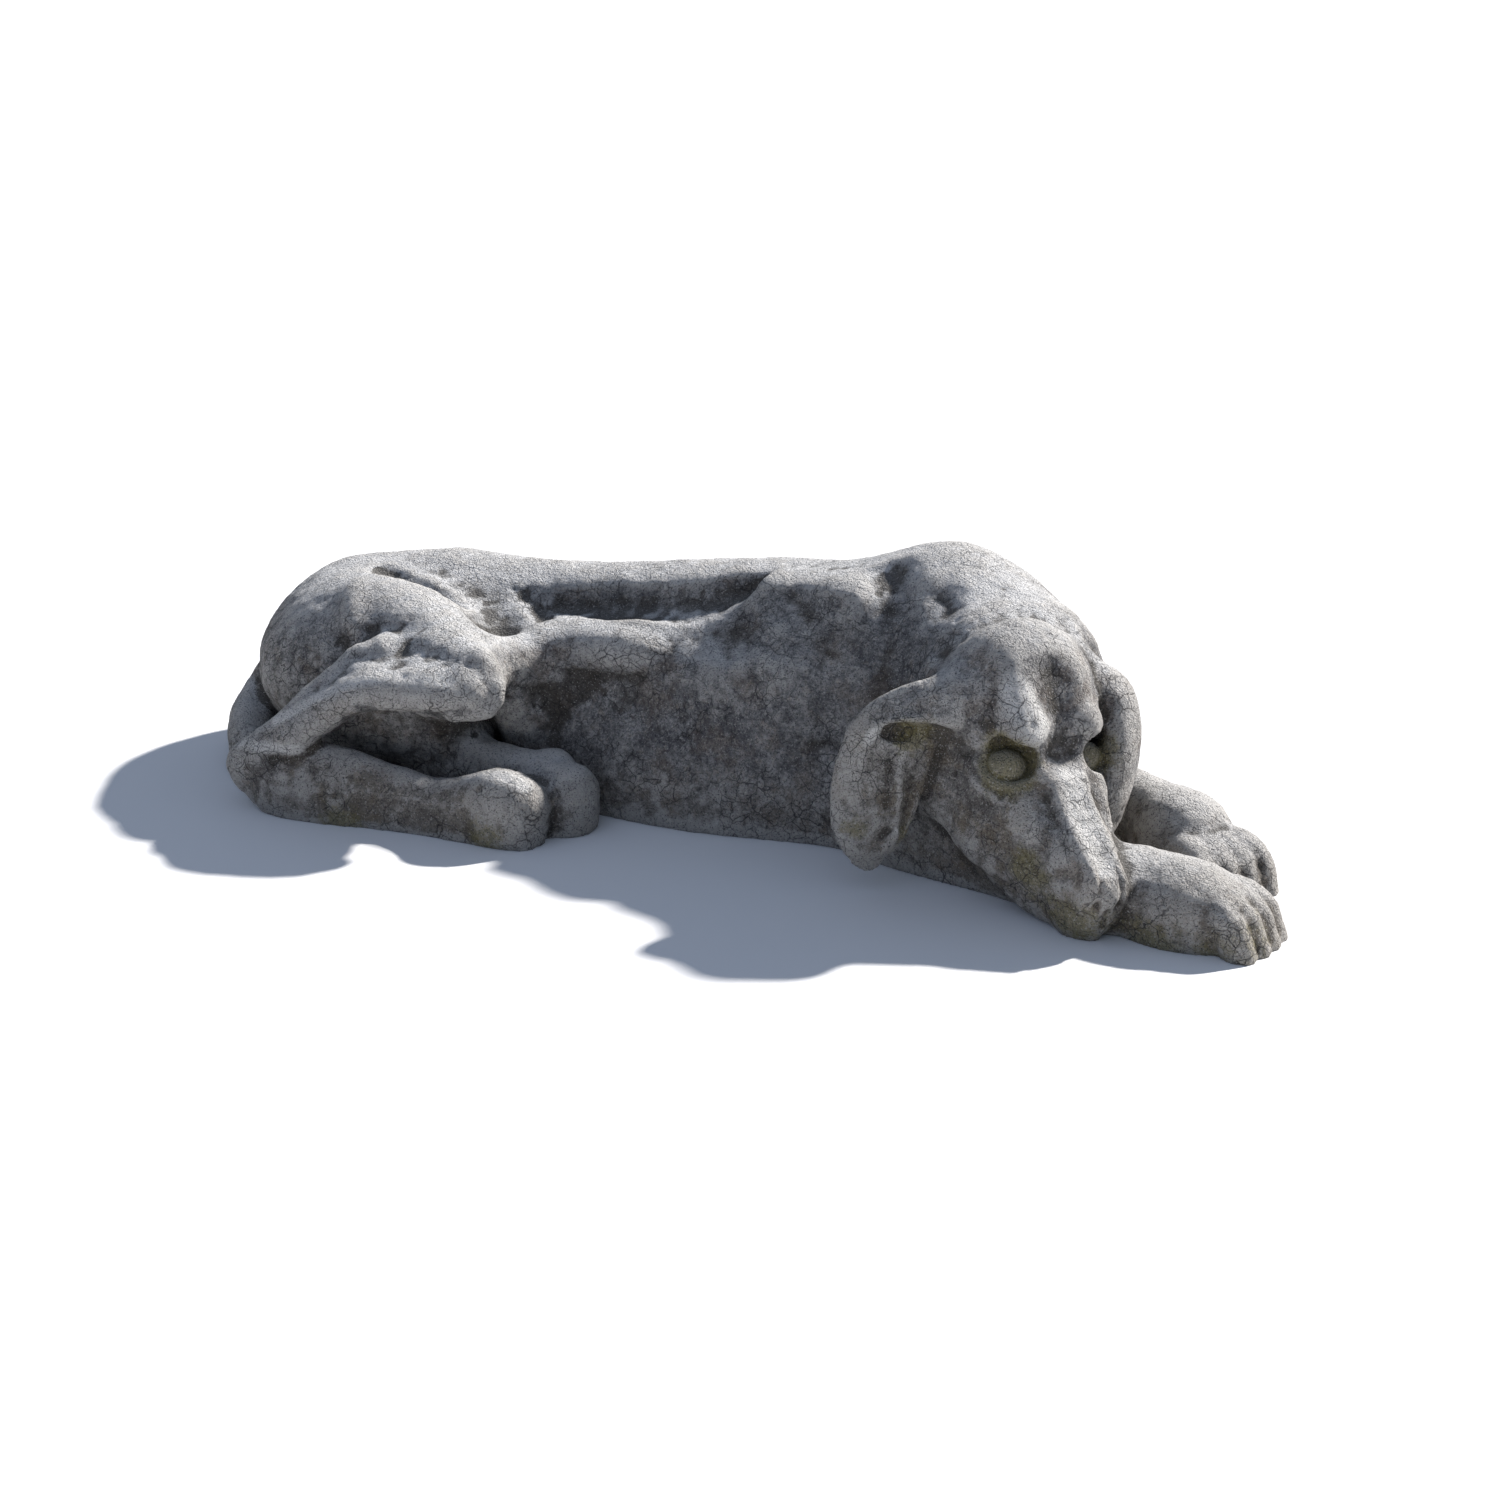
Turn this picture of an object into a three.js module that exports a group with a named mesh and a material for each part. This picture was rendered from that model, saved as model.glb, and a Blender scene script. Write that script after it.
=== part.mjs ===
// A dog lying with its chin on its forepaws: one solid casting with a flat underside.
// Row frame: +X along the body to the head, -Y the side the head turns to, +Z up,
// origin on the underside at the middle of the outline. Output in millimetres.
import * as THREE from "three";

const length = 950;          // rump to claws, mm
const depth = 332.8;         // across the folded legs
const height = 229.2;        // underside to the top of the shoulders
const scale = [length / 972.15, depth / 340.1, height / 234.55]; // mm in one modelling unit, each way
const middle = [7.6, 1.8, 0]; // middle of the outline seen from above, in modelling units
const budget = 9400;         // triangles in the finished solid
const settle = [30, 0.5];    // below this height the forms widen on to the ground, at this rate

// A small sculpting kit: a distance field on a grid, worked like clay.

function spline(points, steps) {
  if (steps < 2) return points;
  const ends = (a, b) => a.map((v, k) => 2 * v - b[k]);
  const p = [ends(points[0], points[1]), ...points, ends(points.at(-1), points.at(-2))];
  const out = [];
  for (let i = 1; i < p.length - 2; i++) {
    for (let k = 0; k < steps; k++) {
      const t = k / steps;
      out.push(p[i].map((v, c) => 0.5 * (2 * v + (p[i + 1][c] - p[i - 1][c]) * t
        + (2 * p[i - 1][c] - 5 * v + 4 * p[i + 1][c] - p[i + 2][c]) * t * t
        + (3 * v - p[i - 1][c] - 3 * p[i + 1][c] + p[i + 2][c]) * t ** 3)));
    }
  }
  out.push(points.at(-1));
  return out;
}

const dot = (a, b) => a[0] * b[0] + a[1] * b[1] + a[2] * b[2];
const cross = (a, b) => [a[1] * b[2] - a[2] * b[1], a[2] * b[0] - a[0] * b[2], a[0] * b[1] - a[1] * b[0]];
const mix = (rows, v) => [0, 1, 2].map((k) => v[0] * rows[0][k] + v[1] * rows[1][k] + v[2] * rows[2][k]);
const less = (a, b) => [a[0] - b[0], a[1] - b[1], a[2] - b[2]];
const square = [[1, 0, 0], [0, 1, 0], [0, 0, 1]];

// rows: forward, left and up of something turned by yaw, pitch (nose up) and roll, in degrees
function turned(yaw = 0, pitch = 0, roll = 0) {
  const [y, p, r] = [yaw, pitch, roll].map((v) => v * Math.PI / 180);
  const forward = [Math.cos(p) * Math.cos(y), Math.cos(p) * Math.sin(y), Math.sin(p)];
  const level = [-Math.sin(y), Math.cos(y), 0];
  const up = cross(forward, level);
  const left = level.map((v, k) => v * Math.cos(r) + up[k] * Math.sin(r));
  return [forward, left, cross(forward, left)];
}

class Local {
  constructor(o, yaw = 0, pitch = 0, roll = 0, base = square) {
    this.o = o;
    this.m = turned(yaw, pitch, roll).map((row) => mix(base, row));
  }
  at(x, y, z) { return mix(this.m, [x, y, z]).map((v, k) => v + this.o[k]); }
  path(rows) { return rows.map(([x, y, z, ...rest]) => [...this.at(x, y, z), ...rest]); }
  inner([x, y, z], yaw, pitch, roll) { return new Local(this.at(x, y, z), yaw, pitch, roll, this.m); }
}

// nearest point of segment a-b to x, y, z: squared distance and place along it
function nearest(a, b, x, y, z) {
  const u = b[0] - a[0], v = b[1] - a[1], w = b[2] - a[2];
  const X = x - a[0], Y = y - a[1], Z = z - a[2];
  const t = Math.min(Math.max((X * u + Y * v + Z * w) / (u * u + v * v + w * w), 0), 1);
  return [(X - t * u) ** 2 + (Y - t * v) ** 2 + (Z - t * w) ** 2, t];
}

function ball(c, size, m = square) {
  const r = typeof size === "number" ? [size, size, size] : size;
  const reach = [0, 1, 2].map((k) => Math.hypot(m[0][k] * r[0], m[1][k] * r[1], m[2][k] * r[2]));
  const d = (x, y, z) => {
    const q = [x - c[0], y - c[1], z - c[2]];
    const a = [dot(m[0], q) / r[0], dot(m[1], q) / r[1], dot(m[2], q) / r[2]];
    const k0 = Math.hypot(...a);
    return k0 * (k0 - 1) / (Math.hypot(a[0] / r[0], a[1] / r[1], a[2] / r[2]) + 1e-9);
  };
  return { lo: c.map((v, k) => v - reach[k]), hi: c.map((v, k) => v + reach[k]), d };
}

// a limb through rows of x, y, z, radius; flat = [axis, share] thins it along that axis
function tube(points, steps, flat) {
  let p = spline(points, steps);
  const r = Math.max(...p.map((q) => q[3]));
  const lo = [0, 1, 2].map((k) => Math.min(...p.map((q) => q[k])) - r);
  const hi = [0, 1, 2].map((k) => Math.max(...p.map((q) => q[k])) + r);
  const long = flat ? Math.hypot(...flat[0]) : 1;
  const n = flat ? flat[0].map((v) => v / long) : [0, 0, 0];
  const k = flat ? 1 / flat[1] - 1 : 0;
  p = p.map((q) => {
    const s = k * dot(q, n);
    return [q[0] + s * n[0], q[1] + s * n[1], q[2] + s * n[2], q[3]];
  });
  const d = (x, y, z) => {
    const s = k * (x * n[0] + y * n[1] + z * n[2]);
    let out = Infinity;
    for (let i = 1; i < p.length; i++) {
      const [e, t] = nearest(p[i - 1], p[i], x + s * n[0], y + s * n[1], z + s * n[2]);
      out = Math.min(out, Math.sqrt(e) - p[i - 1][3] - t * (p[i][3] - p[i - 1][3]));
    }
    return out;
  };
  return { lo, hi, d };
}

class Clay {
  constructor(xs, ys, zs) {
    Object.assign(this, { xs, ys, zs });
    this.soft = zs.map((z) => (z < settle[0] ? settle[0] + (z - settle[0]) * settle[1] : z));
    this.f = new Float64Array(xs.length * ys.length * zs.length).fill(1000);
  }
  work(lo, hi, change) {
    const range = (axis, a, b) => axis.map((v, i) => [v, i]).filter(([v]) => v >= a && v < b);
    const [X, Y, Z] = [this.xs, this.ys, this.soft].map((axis, c) => range(axis, lo[c], hi[c]));
    for (const [x, i] of X) {
      for (const [y, j] of Y) {
        const row = (i * this.ys.length + j) * this.zs.length;
        for (const [z, k] of Z) this.f[row + k] = change(this.f[row + k], x, y, z);
      }
    }
  }
  add(shape, blend) {
    const m = blend + 14;
    this.work(shape.lo.map((v) => v - m), shape.hi.map((v) => v + m), (a, x, y, z) => {
      const b = shape.d(x, y, z);
      const h = Math.max(blend - Math.abs(a - b), 0) / blend;
      return Math.min(a, b) - h * h * blend * 0.25;
    });
  }
  carve(shape, blend) {
    const m = blend + 14;
    this.work(shape.lo.map((v) => v - m), shape.hi.map((v) => v + m), (a, x, y, z) => {
      const b = -shape.d(x, y, z);
      const h = Math.max(blend - Math.abs(a - b), 0) / blend;
      return Math.max(a, b) + h * h * blend * 0.25;
    });
  }
  // a soft mound of that height; negative is a hollow
  swell(c, size, height, m = square) {
    const r = typeof size === "number" ? [size, size, size] : size;
    const reach = [0, 1, 2].map((k) => 2.2 * Math.hypot(m[0][k] * r[0], m[1][k] * r[1], m[2][k] * r[2]));
    this.work(c.map((v, k) => v - reach[k]), c.map((v, k) => v + reach[k]), (a, x, y, z) => {
      const q = [x - c[0], y - c[1], z - c[2]];
      const e = (dot(m[0], q) / r[0]) ** 2 + (dot(m[1], q) / r[1]) ** 2 + (dot(m[2], q) / r[2]) ** 2;
      return a - height * Math.exp(-e);
    });
  }
  // a soft groove along a path, fading at its ends; negative depth is a ridge
  groove(points, width, depth) {
    const p = spline(points, 5);
    const side = (pick, s) => [0, 1, 2].map((k) => pick(...p.map((q) => q[k])) + s * 2.2 * width);
    this.work(side(Math.min, -1), side(Math.max, 1), (a, x, y, z) => {
      let best = Infinity, along = 0;
      for (let i = 1; i < p.length; i++) {
        const [e, t] = nearest(p[i - 1], p[i], x, y, z);
        if (e < best) [best, along] = [e, (i - 1 + t) / (p.length - 1)];
      }
      const fade = Math.min(Math.min(along, 1 - along) / 0.25, 1);
      return a + depth * fade * (2 - fade) * Math.exp(-best / width ** 2);
    });
  }
  floor() {
    const n = this.zs.length;
    for (let i = 0; i < this.f.length; i++) this.f[i] = Math.max(this.f[i], -this.zs[i % n]);
  }
}

const head_frame = new Local([298, -92, 118], -42, -25, -5);

function torso(c) {
  c.add(ball([20, 62, 92], [165, 106, 104]), 30);
  c.add(ball([150, 66, 104], [110, 96, 104]), 40);
  c.add(ball([192, 62, 118], [76, 78, 96]), 40);
  c.add(ball([-120, 68, 80], [140, 92, 92]), 40);
  c.add(ball([-295, 62, 76], [135, 100, 86]), 40);
  c.add(ball([-380, 48, 76], [86, 80, 78]), 36);
  c.add(tube([[-150, 16, 30, 56], [-90, 4, 30, 58], [-20, -2, 30, 58], [80, 4, 32, 54]], 3), 26);
  // back line
  c.add(tube([[-385, 74, 116, 34], [-300, 84, 132, 34], [-160, 88, 134, 34], [-40, 88, 145, 36],
    [80, 86, 160, 38], [165, 80, 182, 38]], 3), 40);
  // furrow beneath the back muscles, and the ribs below it
  c.groove([[-205, 34, 154], [-160, 32, 157], [-110, 30, 163], [-60, 30, 170], [-16, 38, 182],
    [20, 52, 196]], 15, 17);
  c.swell([-134, -8, 140], [58, 22, 15], 12);
  c.add(tube([[-176, 0, 124, 20], [-124, -8, 131, 20], [-86, -11, 135, 19],
    [-66, -10, 138, 14]], 3), 8);
  c.swell([-120, -40, 108], [64, 24, 20], -7);
  c.swell([-12, -6, 158], [44, 26, 26], -13);
  c.swell([22, 40, 200], [56, 18, 12], 7);
  c.swell([14, -8, 165], [50, 26, 22], -12);
  // shoulder blade and the hollow behind the neck
  c.swell([52, -22, 160], [56, 26, 46], 10);
  c.swell([84, 22, 202], [34, 26, 22], 13);
  c.swell([100, 2, 184], [18, 22, 34], 8);
  c.swell([146, 78, 212], [40, 40, 26], 8);
  c.groove([[120, 54, 216], [130, 20, 208], [142, -8, 194], [150, -30, 170], [148, -44, 124]],
    17, 24);
  c.swell([184, 4, 212], [24, 32, 22], 7);
}

function haunch(c) {
  c.add(ball([-338, -4, 86], [104, 84, 70]), 30);
  c.add(tube([[-350, 6, 98, 66], [-295, -26, 110, 62], [-245, -62, 118, 44],
    [-206, -88, 122, 28]], 3), 26);
  // shank: knee back to the hock, with the tendon behind it
  c.add(tube([[-204, -92, 118, 24], [-245, -104, 120, 23], [-300, -114, 108, 19],
    [-345, -126, 78, 16], [-376, -133, 50, 18]], 3), 9);
  c.add(tube([[-192, -112, 118, 13], [-212, -121, 118, 13], [-250, -128, 118, 14],
    [-286, -133, 115, 13], [-318, -137, 95, 12], [-348, -137, 66, 12]], 3), 16);
  c.add(tube([[-196, -90, 138, 14], [-178, -100, 124, 10], [-182, -107, 106, 9],
    [-208, -114, 104, 11]], 2), 6);
  c.add(tube([[-396, -136, 38, 14], [-360, -126, 74, 12], [-322, -110, 111, 14],
    [-284, -86, 132, 20]], 3), 10);
  // inner side of the far thigh, seen under the shank
  c.add(tube([[-340, -50, 60, 40], [-280, -48, 60, 38], [-240, -44, 48, 28]], 3), 18);
  // groove between croup and thigh
  c.groove([[-356, 34, 170], [-318, 18, 167], [-284, 6, 163], [-246, -4, 156]], 8, 22);
  c.swell([-300, -14, 150], [44, 18, 16], 6);
  c.groove([[-350, 4, 166], [-338, -40, 160], [-322, -80, 150], [-306, -108, 134]], 12, -5);
  c.groove([[-306, -116, 128], [-270, -122, 128], [-232, -118, 134], [-196, -104, 128]], 8, -4);
  // muscle hollows
  c.swell([-262, -120, 138], [15, 12, 8], -5);
  c.swell([-236, -112, 146], [18, 14, 9], -4);
  c.swell([-262, -66, 146], [40, 18, 14], -8);
  c.swell([-322, -62, 128], [22, 18, 18], -6);
  // fold of skin to the flank
  c.add(tube([[-222, -66, 124, 22], [-196, -36, 120, 22], [-160, 4, 110, 22]], 3), 24);
  c.add(tube([[-200, -34, 100, 22], [-188, -20, 76, 26], [-176, -12, 44, 30]], 3), 10);
}

// Toes side by side on a paw frame whose origin is under the knuckles, +X to the claws.
function toes(c, paw, size, count, spread) {
  for (let k = 0; k < count; k++) {
    const t = k - (count - 1) / 2;
    const long = 1 - 0.07 * Math.abs(t);
    c.add(tube(paw.path([[-26 * size, 12 * t * size, 26 * size, 17 * size],
      [8 * size, 14 * t * size, 34 * size, 16 * size],
      [(32 * size) * long, spread * t * size, 28 * size, 13 * size],
      [(46 * size) * long, (spread + 0.5) * t * size, 15 * size,
      12 * size]]), 3), 4 * size);
    c.add(tube(paw.path([[50 * size * long, (spread + 0.5) * t * size, 17 * size, 6 * size],
      [59 * size * long, (spread + 0.5) * t * size, 6 * size, 3.5 * size]]), 1), 4);
  }
}

function near_foot(c) {
  c.add(tube([[-393, -136, 40, 18], [-350, -134, 33, 31], [-310, -131, 28, 33],
    [-280, -128, 22, 31], [-225, -128, 18, 27], [-190, -130, 24, 28]],
    3, [[0.1, -0.95, 0.3], 0.62]), 9);
  c.add(ball([-160, -127, 30], [40, 27, 32]), 10);
  toes(c, new Local([-166, -126, -1], 0), 0.72, 3, 18);
}

function far_foot(c) {
  c.add(tube([[-260, -52, 30, 26], [-200, -66, 34, 25], [-150, -78, 32, 27],
    [-122, -84, 28, 29]], 3), 12);
  c.add(ball([-140, -66, 50], [15, 13, 11]), 9);
  toes(c, new Local([-146, -82, -4], 10), 0.74, 3, 16);
}

function tail(c) {
  c.add(tube([[-412, 50, 70, 32], [-446, 34, 54, 26], [-456, -4, 34, 22], [-440, -50, 24, 20],
    [-400, -90, 18, 16], [-350, -96, 14, 12]], 3), 14);
}

function neck(c) {
  c.add(tube([[165, 52, 128, 90], [212, 24, 131, 86], [240, -16, 130, 76]], 3), 36);
  c.add(ball([256, 16, 122], [50, 48, 86]), 30);
}

function head(c) {
  const h = head_frame;
  const A = h.m;
  c.add(ball(h.at(-72, 2, 14), [72, 60, 54], A), 24);
  c.add(ball(h.at(-62, -8, -44), [76, 56, 70], A), 24);
  c.swell(h.at(-62, -4, 66), [34, 36, 18], 6, A);
  // crease behind the skull and the hollow of the neck beside it
  c.groove([[183, -56, 178], [203, -58, 198], [214, -54, 209], [231, -41, 218], [252, -22, 222],
    [279, -12, 215], [292, 6, 200]], 13, 12);
  c.swell([180, -4, 212], [16, 22, 16], -8);
  // bridge of the muzzle, flat on top
  c.add(tube(h.path([[-20, 0, -12, 44], [30, 0, -24, 30], [76, 0, -30, 22],
    [104, 0, -36, 17]]), 3), 16);
  for (const s of [-1, 1]) {
    c.add(tube(h.path([[-20, 13 * s, 4, 20], [26, 12 * s, 1, 8], [50, 13 * s, -5, 5.5],
      [80, 12 * s, -12, 5], [108, 11 * s, -20, 6]]), 3), 5);
    // cheek, lips
    c.add(tube(h.path([[-52, 30 * s, -64, 38], [6, 25 * s, -67, 31], [50, 16 * s, -67, 22],
      [86, 9 * s, -54, 18]]), 3), 16);
    c.add(tube(h.path([[-10, 25 * s, -34, 30], [30, 15 * s, -42, 25], [62, 9 * s, -44, 20],
      [90, 5 * s, -42, 17]]), 3), 18);
    c.add(ball(h.at(68, 13 * s, -28), [24, 15, 18], A), 10);
    c.add(ball(h.at(28, 31 * s, -24), [28, 13, 14], A), 14);
    c.add(tube(h.path([[8, 31 * s, -48, 17], [52, 19 * s, -50, 15]]), 1), 16);
    // brow and temple
    c.swell(h.at(-10, 27 * s, 36), [22, 17, 14], 10, A);
    c.swell(h.at(-9, 37 * s, 30), [18, 13, 13], 10, A);
    c.swell(h.at(-52, 30 * s, 58), [26, 15, 16], 5, A);
    c.swell(h.at(-42, 60 * s, 10), [26, 14, 18], -6, A);
  }
  c.add(ball(h.at(98, 0, -54), [20, 17, 19], A), 12);
  // furrow down the forehead
  c.groove(h.path([[-56, 0, 66], [-32, 0, 55], [-8, 1, 37], [10, 1, 24], [26, 0, 13]]), 12, 13);
  for (const s of [-1, 1]) {
    eye(c, h, s);
  }
  nose(c, h);
}

function eye(c, h, s) {
  const e = h.inner([-5, 37 * s, 1], 46 * s, 33, -14 * s);
  c.carve(ball(e.at(5, 0, 2), [22, 26, 20], e.m), 4);
  c.add(ball(e.at(-10, 1, -4), [16, 15, 13.5], e.m), 1);
  // lower lid, the fold under it, the crease of the brow and the outer corner
  c.add(tube(e.path([[-8, -23, -8, 4], [-3, -13, -15, 4.5], [-1, 0, -17, 5],
    [-3, 13, -14, 4.5], [-8, 22, -5, 4]]), 4), 4);
  c.add(tube(e.path([[-7, -23, -20, 4], [-2, -9, -26, 5], [-1, 6, -27, 5],
    [-5, 21, -22, 4]]), 4), 6);
  c.groove(e.path([[-4, -20, 13], [-1, -8, 21], [0, 6, 22], [-2, 20, 16]]), 3, 4);
  c.groove(e.path([[-2, 19 * s, -6], [0, 26 * s, -8], [-2, 33 * s, -11]]), 2.5, 4);
}

function nose(c, h) {
  c.add(ball(h.at(108, 0, -34), [15, 19, 17], h.m), 8);
  for (const s of [-1, 1]) {
    c.carve(ball(h.at(123, 10 * s, -36), [5, 4, 5], h.m), 3);
    c.groove(h.path([[102, 8 * s, -13], [112, 9 * s, -18], [121, 10 * s, -28],
      [123, 11 * s, -38]]), 2.5, 2.2);
    c.groove(h.path([[120, 0, -54], [104, 20 * s, -66], [76, 36 * s, -80], [44, 44 * s, -88],
      [12, 50 * s, -90]]), 3.5, 3);
  }
  c.groove(h.path([[125, 0, -36], [122, 0, -52]]), 2.5, 2.5);
}

function ears(c) {
  const h = head_frame;
  const near_lie = [0.45, -0.85, 0.25];
  c.add(tube([[194, -110, 150, 24], [178, -116, 132, 34], [167, -119, 100, 37],
    [160, -120, 66, 33], [157, -119, 44, 21]], 5, [near_lie, 0.24]), 7);
  // rolled root, the hollows below it and the rim toward the cheek
  c.add(tube([[...h.at(-66, -46, 8), 30], [208, -100, 159, 21], [181, -113, 147, 15],
    [158, -118, 133, 12]], 4), 16);
  c.carve(ball([190, -130, 143], [19, 13, 8]), 5);
  c.carve(ball([215, -124, 139], [13, 12, 9]), 6);
  c.groove([[196, -128, 132], [186, -130, 112], [190, -128, 84], [184, -126, 54],
    [168, -122, 34]], 6, -6);
  c.groove([[180, -128, 134], [174, -130, 100], [176, -128, 66]], 7, 4);
  c.groove([[158, -126, 134], [152, -128, 100], [146, -126, 66]], 9, -4);
  c.groove([[220, -124, 136], [207, -124, 121], [199, -122, 104], [193, -120, 82],
    [186, -118, 52]], 5, 12);
  c.carve(ball([206, -100, 44], [17, 16, 13]), 8);
  const far_lie = [-0.9, -0.1, 0.3];
  c.add(tube([[...h.at(-82, 46, 22), 20], [322, -12, 146, 26], [334, -20, 118, 33],
    [334, -25, 84, 32], [332, -28, 54, 20]], 5, [far_lie, 0.42]), 10);
}

function forelegs(c) {
  c.add(tube([[90, 0, 44, 38], [150, -34, 34, 36], [220, -56, 28, 33], [300, -76, 27, 30],
    [370, -94, 28, 30]], 3), 20);
  c.add(ball([410, -108, 25], [62, 43, 34], turned(-16)), 16);
  toes(c, new Local([438, -110, -3], -14), 0.98, 4, 17);
  c.add(tube([[190, 140, 40, 32], [270, 112, 30, 28], [335, 66, 28, 27], [380, 24, 28, 28]],
    3), 20);
  c.add(ball([384, 18, 22], [48, 36, 28], turned(-42)), 16);
  toes(c, new Local([404, 0, -9], -40), 0.98, 4, 17);
}

const parts = [torso, haunch, near_foot, far_foot, tail, neck, head, ears, forelegs];

// Skin over the field: one point in each cell that the surface crosses.

const corners = [...Array(8).keys()].map((c) => [c >> 2 & 1, c >> 1 & 1, c & 1]);
const sides = [];
for (let a = 0; a < 8; a++) {
  for (let b = a + 1; b < 8; b++) if ([1, 2, 4].includes(a ^ b)) sides.push([a, b]);
}

// cells whose inside or outside corners don't hang together would pinch the skin
const pinched = [...Array(256).keys()].map((set) => {
  for (const want of [0, 1]) {
    const mine = corners.map((_, c) => c).filter((c) => (set >> c & 1) === want);
    if (!mine.length) continue;
    const seen = new Set([mine[0]]);
    for (const c of seen) for (const bit of [1, 2, 4]) if (mine.includes(c ^ bit)) seen.add(c ^ bit);
    if (seen.size < mine.length) return true;
  }
  return false;
});

function skin(clay) {
  const { f, xs, ys, zs } = clay;
  const [nx, ny, nz] = [xs.length, ys.length, zs.length];
  const step = [ny * nz, nz, 1];
  const at = corners.map((c) => c[0] * step[0] + c[1] * step[1] + c[2]);
  const signs = (i) => at.reduce((set, o, c) => set | (f[i + o] < 0) << c, 0);
  const cells = (visit) => {
    for (let i = 0; i < nx - 1; i++) for (let j = 0; j < ny - 1; j++) for (let k = 0; k < nz - 1; k++) {
      visit(i * step[0] + j * step[1] + k, i, j, k);
    }
  };
  for (let again = true; again;) {
    again = false;
    cells((i) => {
      if (!pinched[signs(i)]) return;
      const open = at.filter((o) => f[i + o] >= 0).sort((a, b) => f[i + a] - f[i + b]);
      f[i + open[0]] = -0.01;
      again = true;
    });
  }
  const cell = new Int32Array(f.length).fill(-1);
  const points = [];
  cells((n, i, j, k) => {
    const set = signs(n);
    if (set === 0 || set === 255) return;
    const sum = [0, 0, 0];
    let count = 0;
    for (const [a, b] of sides) {
      if ((set >> a & 1) === (set >> b & 1)) continue;
      const t = f[n + at[a]] / (f[n + at[a]] - f[n + at[b]]);
      for (let c = 0; c < 3; c++) sum[c] += corners[a][c] + t * (corners[b][c] - corners[a][c]);
      count++;
    }
    const [x, y, z] = sum.map((v) => v / count);
    const low = zs[k] < 0 ? 0 : zs[k] + z * (zs[k + 1] - zs[k]);
    cell[n] = points.length;
    points.push([xs[i] + x * (xs[i + 1] - xs[i]), ys[j] + y * (ys[j + 1] - ys[j]), low]);
  });
  const faces = [];
  for (let axis = 0; axis < 3; axis++) {
    const [u, v] = [step[(axis + 1) % 3], step[(axis + 2) % 3]];
    cells((n, ...ijk) => {
      if (!ijk[(axis + 1) % 3] || !ijk[(axis + 2) % 3] || f[n] < 0 === f[n + step[axis]] < 0) return;
      const ring = [cell[n], cell[n - u], cell[n - u - v], cell[n - v]];
      if (f[n] >= 0) ring.reverse();
      const far = (a, b) => Math.hypot(...[0, 1, 2].map((c) => points[ring[a]][c] - points[ring[b]][c]));
      if (far(0, 2) < far(1, 3)) faces.push([ring[0], ring[1], ring[2]], [ring[0], ring[2], ring[3]]);
      else faces.push([ring[1], ring[2], ring[3]], [ring[1], ring[3], ring[0]]);
    });
  }
  return { points, faces };
}

// Fewer triangles: edges go in order of the least harm to the form.

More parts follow.
